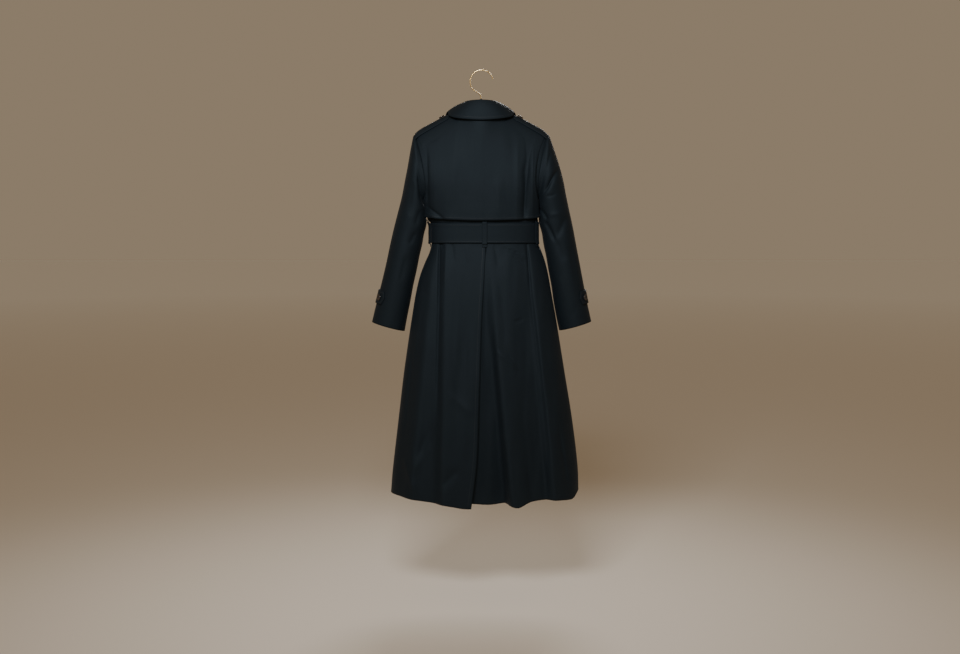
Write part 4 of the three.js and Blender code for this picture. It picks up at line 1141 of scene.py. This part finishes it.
threads = {}
sew("back_cape", (0.005, 0.982, 0.995, 0.982))
sew("collar_fall", (0.01, 0.9, 0.99, 0.9), (0.012, 0.02, 0.012, 0.9), (0.988, 0.02, 0.988, 0.9))
sew("belt", (0.002, 0.09, 0.998, 0.09), (0.002, 0.91, 0.998, 0.91))
sew("front_right", (0.03, 0.3, 0.03, 0.995))
sew("back_left", (0.03, 0.36, 0.03, 0.995))
for side in SIDES:
    sew("lapel_" + side, (0.93, 0.04, 0.93, 0.98), (0.04, 0.035, 0.93, 0.035))
    sew("epaulette_" + side, (0.03, 0.1, 0.95, 0.1), (0.03, 0.9, 0.95, 0.9),
        (0.95, 0.1, 0.965, 0.5), (0.965, 0.5, 0.95, 0.9))
    sew("sleeve_strap_" + side, (0.02, 0.12, 0.99, 0.12), (0.02, 0.88, 0.99, 0.88),
        (0.02, 0.12, 0.012, 0.5), (0.012, 0.5, 0.02, 0.88))
    sew("pocket_welt_" + side, (0.14, 0.02, 0.14, 0.98), (0.86, 0.02, 0.86, 0.98))


# ---- Buttons

COAT_BUTTON = {"radius": 14, "height": 4.2}
TAB_BUTTON = {"radius": 9.5, "height": 3.4}
# A button's outline from its underside round the rim to the dish, as shares of radius and height
BUTTON_OUTLINE = (
    (0.0, 0.0), (0.86, 0.0), (0.97, 0.25), (1.0, 0.55), (0.97, 0.9), (0.9, 1.0), (0.8, 0.96),
    (0.7, 0.78), (0.55, 0.68), (0.0, 0.66),
)
DISH, HOLE_REACH, HOLE_RADIUS = 0.66, 0.2, 0.075


def button_piece(node, size, point, normal):
    """A dished button with a raised rim, four holes and crossed thread."""
    radius, height = size["radius"] * MM, size["height"] * MM
    shape = bmesh.new()
    ring = [shape.verts.new((radius * x, 0, height * y)) for x, y in BUTTON_OUTLINE]
    edges = [shape.edges.new(pair) for pair in zip(ring, ring[1:])]
    bmesh.ops.spin(
        shape, geom=ring + edges, cent=(0, 0, 0), axis=(0, 0, 1), angle=2 * pi, steps=40, use_merge=True
    )
    bmesh.ops.remove_doubles(shape, verts=shape.verts, dist=1e-6)
    bmesh.ops.recalc_face_normals(shape, faces=shape.faces)
    for face in shape.faces:
        face.smooth = True
    reach, hole = radius * HOLE_REACH, radius * HOLE_RADIUS
    sewn = []
    for x, y in ((1, 1), (1, -1), (-1, 1), (-1, -1)):
        spot = Matrix.Translation((x * reach, y * reach, height * DISH))
        sewn += bmesh.ops.create_cone(
            shape, cap_ends=True, segments=12, radius1=hole, radius2=hole, depth=0.3 * MM, matrix=spot
        )["verts"]
    for turn in (pi / 4, -pi / 4):
        spot = (Matrix.Translation((0, 0, height * DISH + 0.35 * MM)) @ Matrix.Rotation(turn, 4, "Z")
                @ Matrix.Diagonal((reach * 2.9, radius * 0.07, 0.5 * MM, 1)))
        sewn += bmesh.ops.create_cube(shape, size=1, matrix=spot)["verts"]
    for face in {f for v in sewn for f in v.link_faces}:
        face.material_index = 1
    turned = Vector((0, 0, 1)).rotation_difference(normal).to_matrix().to_4x4()
    bmesh.ops.transform(shape, matrix=Matrix.Translation(point * MM) @ turned, verts=shape.verts)
    keep(object_from(shape, node + "_horn", "button", "thread"), node)


for number, z in enumerate(FRONT_BUTTON_ROWS, 1):
    for column, x in (("outer", -FRONT_BUTTON_X), ("inner", FRONT_BUTTON_X)):
        point, normal = on_body("front_right", x, z, 0.5)
        button_piece(f"front_button_{column}_{number}", COAT_BUTTON, point, normal)

for side, sign in SIDES.items():
    upright = Vector((sign * SHOULDER_SLOPE, 0, 1)).normalized()
    ridge = ridge_point(sign * (EPAULETTE_INNER + EPAULETTE_BUTTON_IN), 0)
    ridge += upright * (2 * (LAYER_GAP + TAB_CLOTH) + 1)
    button_piece("epaulette_button_" + side, TAB_BUTTON, ridge, upright)
    angle = radians(SLEEVE_BUTTON_ANGLE)
    normal = sleeve_normal(side, angle, STRAP_RING)
    cuff = sleeve_point(side, angle, STRAP_RING) + normal * (LAYER_GAP + STRAP_CLEAR + TAB_CLOTH + 1.9)
    button_piece("sleeve_button_" + side, TAB_BUTTON, cuff, normal)


# ---- Buckle and hanger

def finished_copy(node, finish, bevel=0.0, levels=0):
    """A merged copy of a CAD node with its edges eased."""
    shape = bmesh.new()
    shape.from_mesh(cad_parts[node].data)
    bmesh.ops.remove_doubles(shape, verts=shape.verts, dist=1e-5)
    bmesh.ops.dissolve_limit(shape, angle_limit=radians(1), verts=shape.verts, edges=shape.edges)
    if bevel:
        sharp = [e for e in shape.edges if e.is_manifold and e.calc_face_angle() > radians(40)]
        bmesh.ops.bevel(
            shape, geom=sharp, offset=bevel * MM, segments=3, affect="EDGES", profile=0.5, material=-1
        )
    for face in shape.faces:
        face.smooth = True
    piece = object_from(shape, node + "_finished", finish)
    if levels:
        smooth = piece.modifiers.new("smooth", "SUBSURF")
        smooth.levels = smooth.render_levels = levels
    keep(piece, node)


finished_copy("buckle_frame", "buckle", bevel=0.9)
finished_copy("buckle_prong", "buckle", bevel=0.5)
finished_copy("hanger_arms", "hanger", levels=2)
finished_copy("hanger_neck", "hanger", bevel=0.6)


def hook_piece():
    """The hook's wire: up from the neck, then most of a circle whose inside top is the origin."""
    around = HOOK_RADIUS + HOOK_WIRE
    turns = [radians(mix(HOOK_FROM, HOOK_TO, n / HOOK_STEPS)) for n in range(HOOK_STEPS + 1)]
    circle = [Vector((around * cos(turn) + 2, 0, around * sin(turn) - HOOK_RADIUS)) for turn in turns]
    stem = [Vector((0, 0, NECK_CAP_TOP - 4)), Vector((0, 0, STEM_TOP)), Vector((-3, 0, STEM_TOP + 6))]
    line = bpy.data.curves.new("hanger_hook_wire", "CURVE")
    line.dimensions = "3D"
    spline = line.splines.new("NURBS")
    spline.points.add(len(stem + circle) - 1)
    for knot, spot in zip(spline.points, stem + circle):
        knot.co = (*(spot * MM), 1)
    spline.use_endpoint_u = True
    spline.order_u = 4
    line.bevel_depth = HOOK_WIRE * MM
    line.bevel_resolution = 5
    line.use_fill_caps = True
    line.resolution_u = 5
    rough = new_object("hook_line", line)
    mesh = bpy.data.meshes.new_from_object(rough.evaluated_get(bpy.context.evaluated_depsgraph_get()))
    bpy.data.objects.remove(rough)
    mesh.name = "hanger_hook_wire"
    mesh.materials.append(finishes["hook"])
    for polygon in mesh.polygons:
        polygon.use_smooth = True
    keep(new_object("hanger_hook_wire", mesh), "hanger_hook")


hook_piece()


# ---- Stage and light

FLOOR_LEVEL, FLOOR_HALF = -1.61, 30
FLOOR_NEAR, FLOOR_FAR = (0.74, 0.67, 0.58), (1, 1, 1)
FADE_FROM, FADE_TO = 2.5, 16.0
ROOM_LIGHT, ROOM_STRENGTH = (1.0, 0.77, 0.52, 1), 0.27


def floor_finish():
    """A pale floor that grows paler far off, so that it runs into the backdrop."""
    finish, tree, shader = new_finish("pale_floor")
    place = new_node(tree, "ShaderNodeTexCoord", {}).outputs["Object"]
    reach = new_node(tree, "ShaderNodeVectorMath", {0: place}, operation="LENGTH").outputs["Value"]
    limits = {"Value": reach, "From Min": FADE_FROM, "From Max": FADE_TO}
    fade = new_node(tree, "ShaderNodeMapRange", limits).outputs["Result"]
    fill(tree, shader, {"Base Color": colour_between(tree, fade, FLOOR_NEAR, FLOOR_FAR), "Roughness": 0.9})
    return finish


finishes["floor"] = floor_finish()
floor_shape = bmesh.new()
bmesh.ops.create_grid(floor_shape, x_segments=1, y_segments=1, size=FLOOR_HALF)
bmesh.ops.translate(floor_shape, vec=(0, 0, FLOOR_LEVEL), verts=floor_shape.verts)
floor = object_from(floor_shape, "floor", "floor")

world = bpy.data.worlds.new("studio")
world.use_nodes = True
room = world.node_tree
fill(room, room.nodes["Background"], {"Color": ROOM_LIGHT, "Strength": ROOM_STRENGTH})
bpy.context.scene.world = world


def soft_light(name, place, aim, size, power, spread):
    lamp = bpy.data.lights.new(name, "AREA")
    lamp.spread = radians(spread)
    lamp.shape = "RECTANGLE"
    lamp.size, lamp.size_y = size
    lamp.energy = power
    holder = new_object(name, lamp)
    holder.location = place
    holder.rotation_euler = (Vector(aim) - Vector(place)).to_track_quat("-Z", "Y").to_euler()


soft_light("key", (-0.36, -2.5, 0.8), (0, 0, -0.45), (0.9, 0.7), 18, spread=90)
soft_light("far", (0.4, 3.0, 0.9), (0, 0, -0.4), (1.6, 1.4), 15, spread=70)
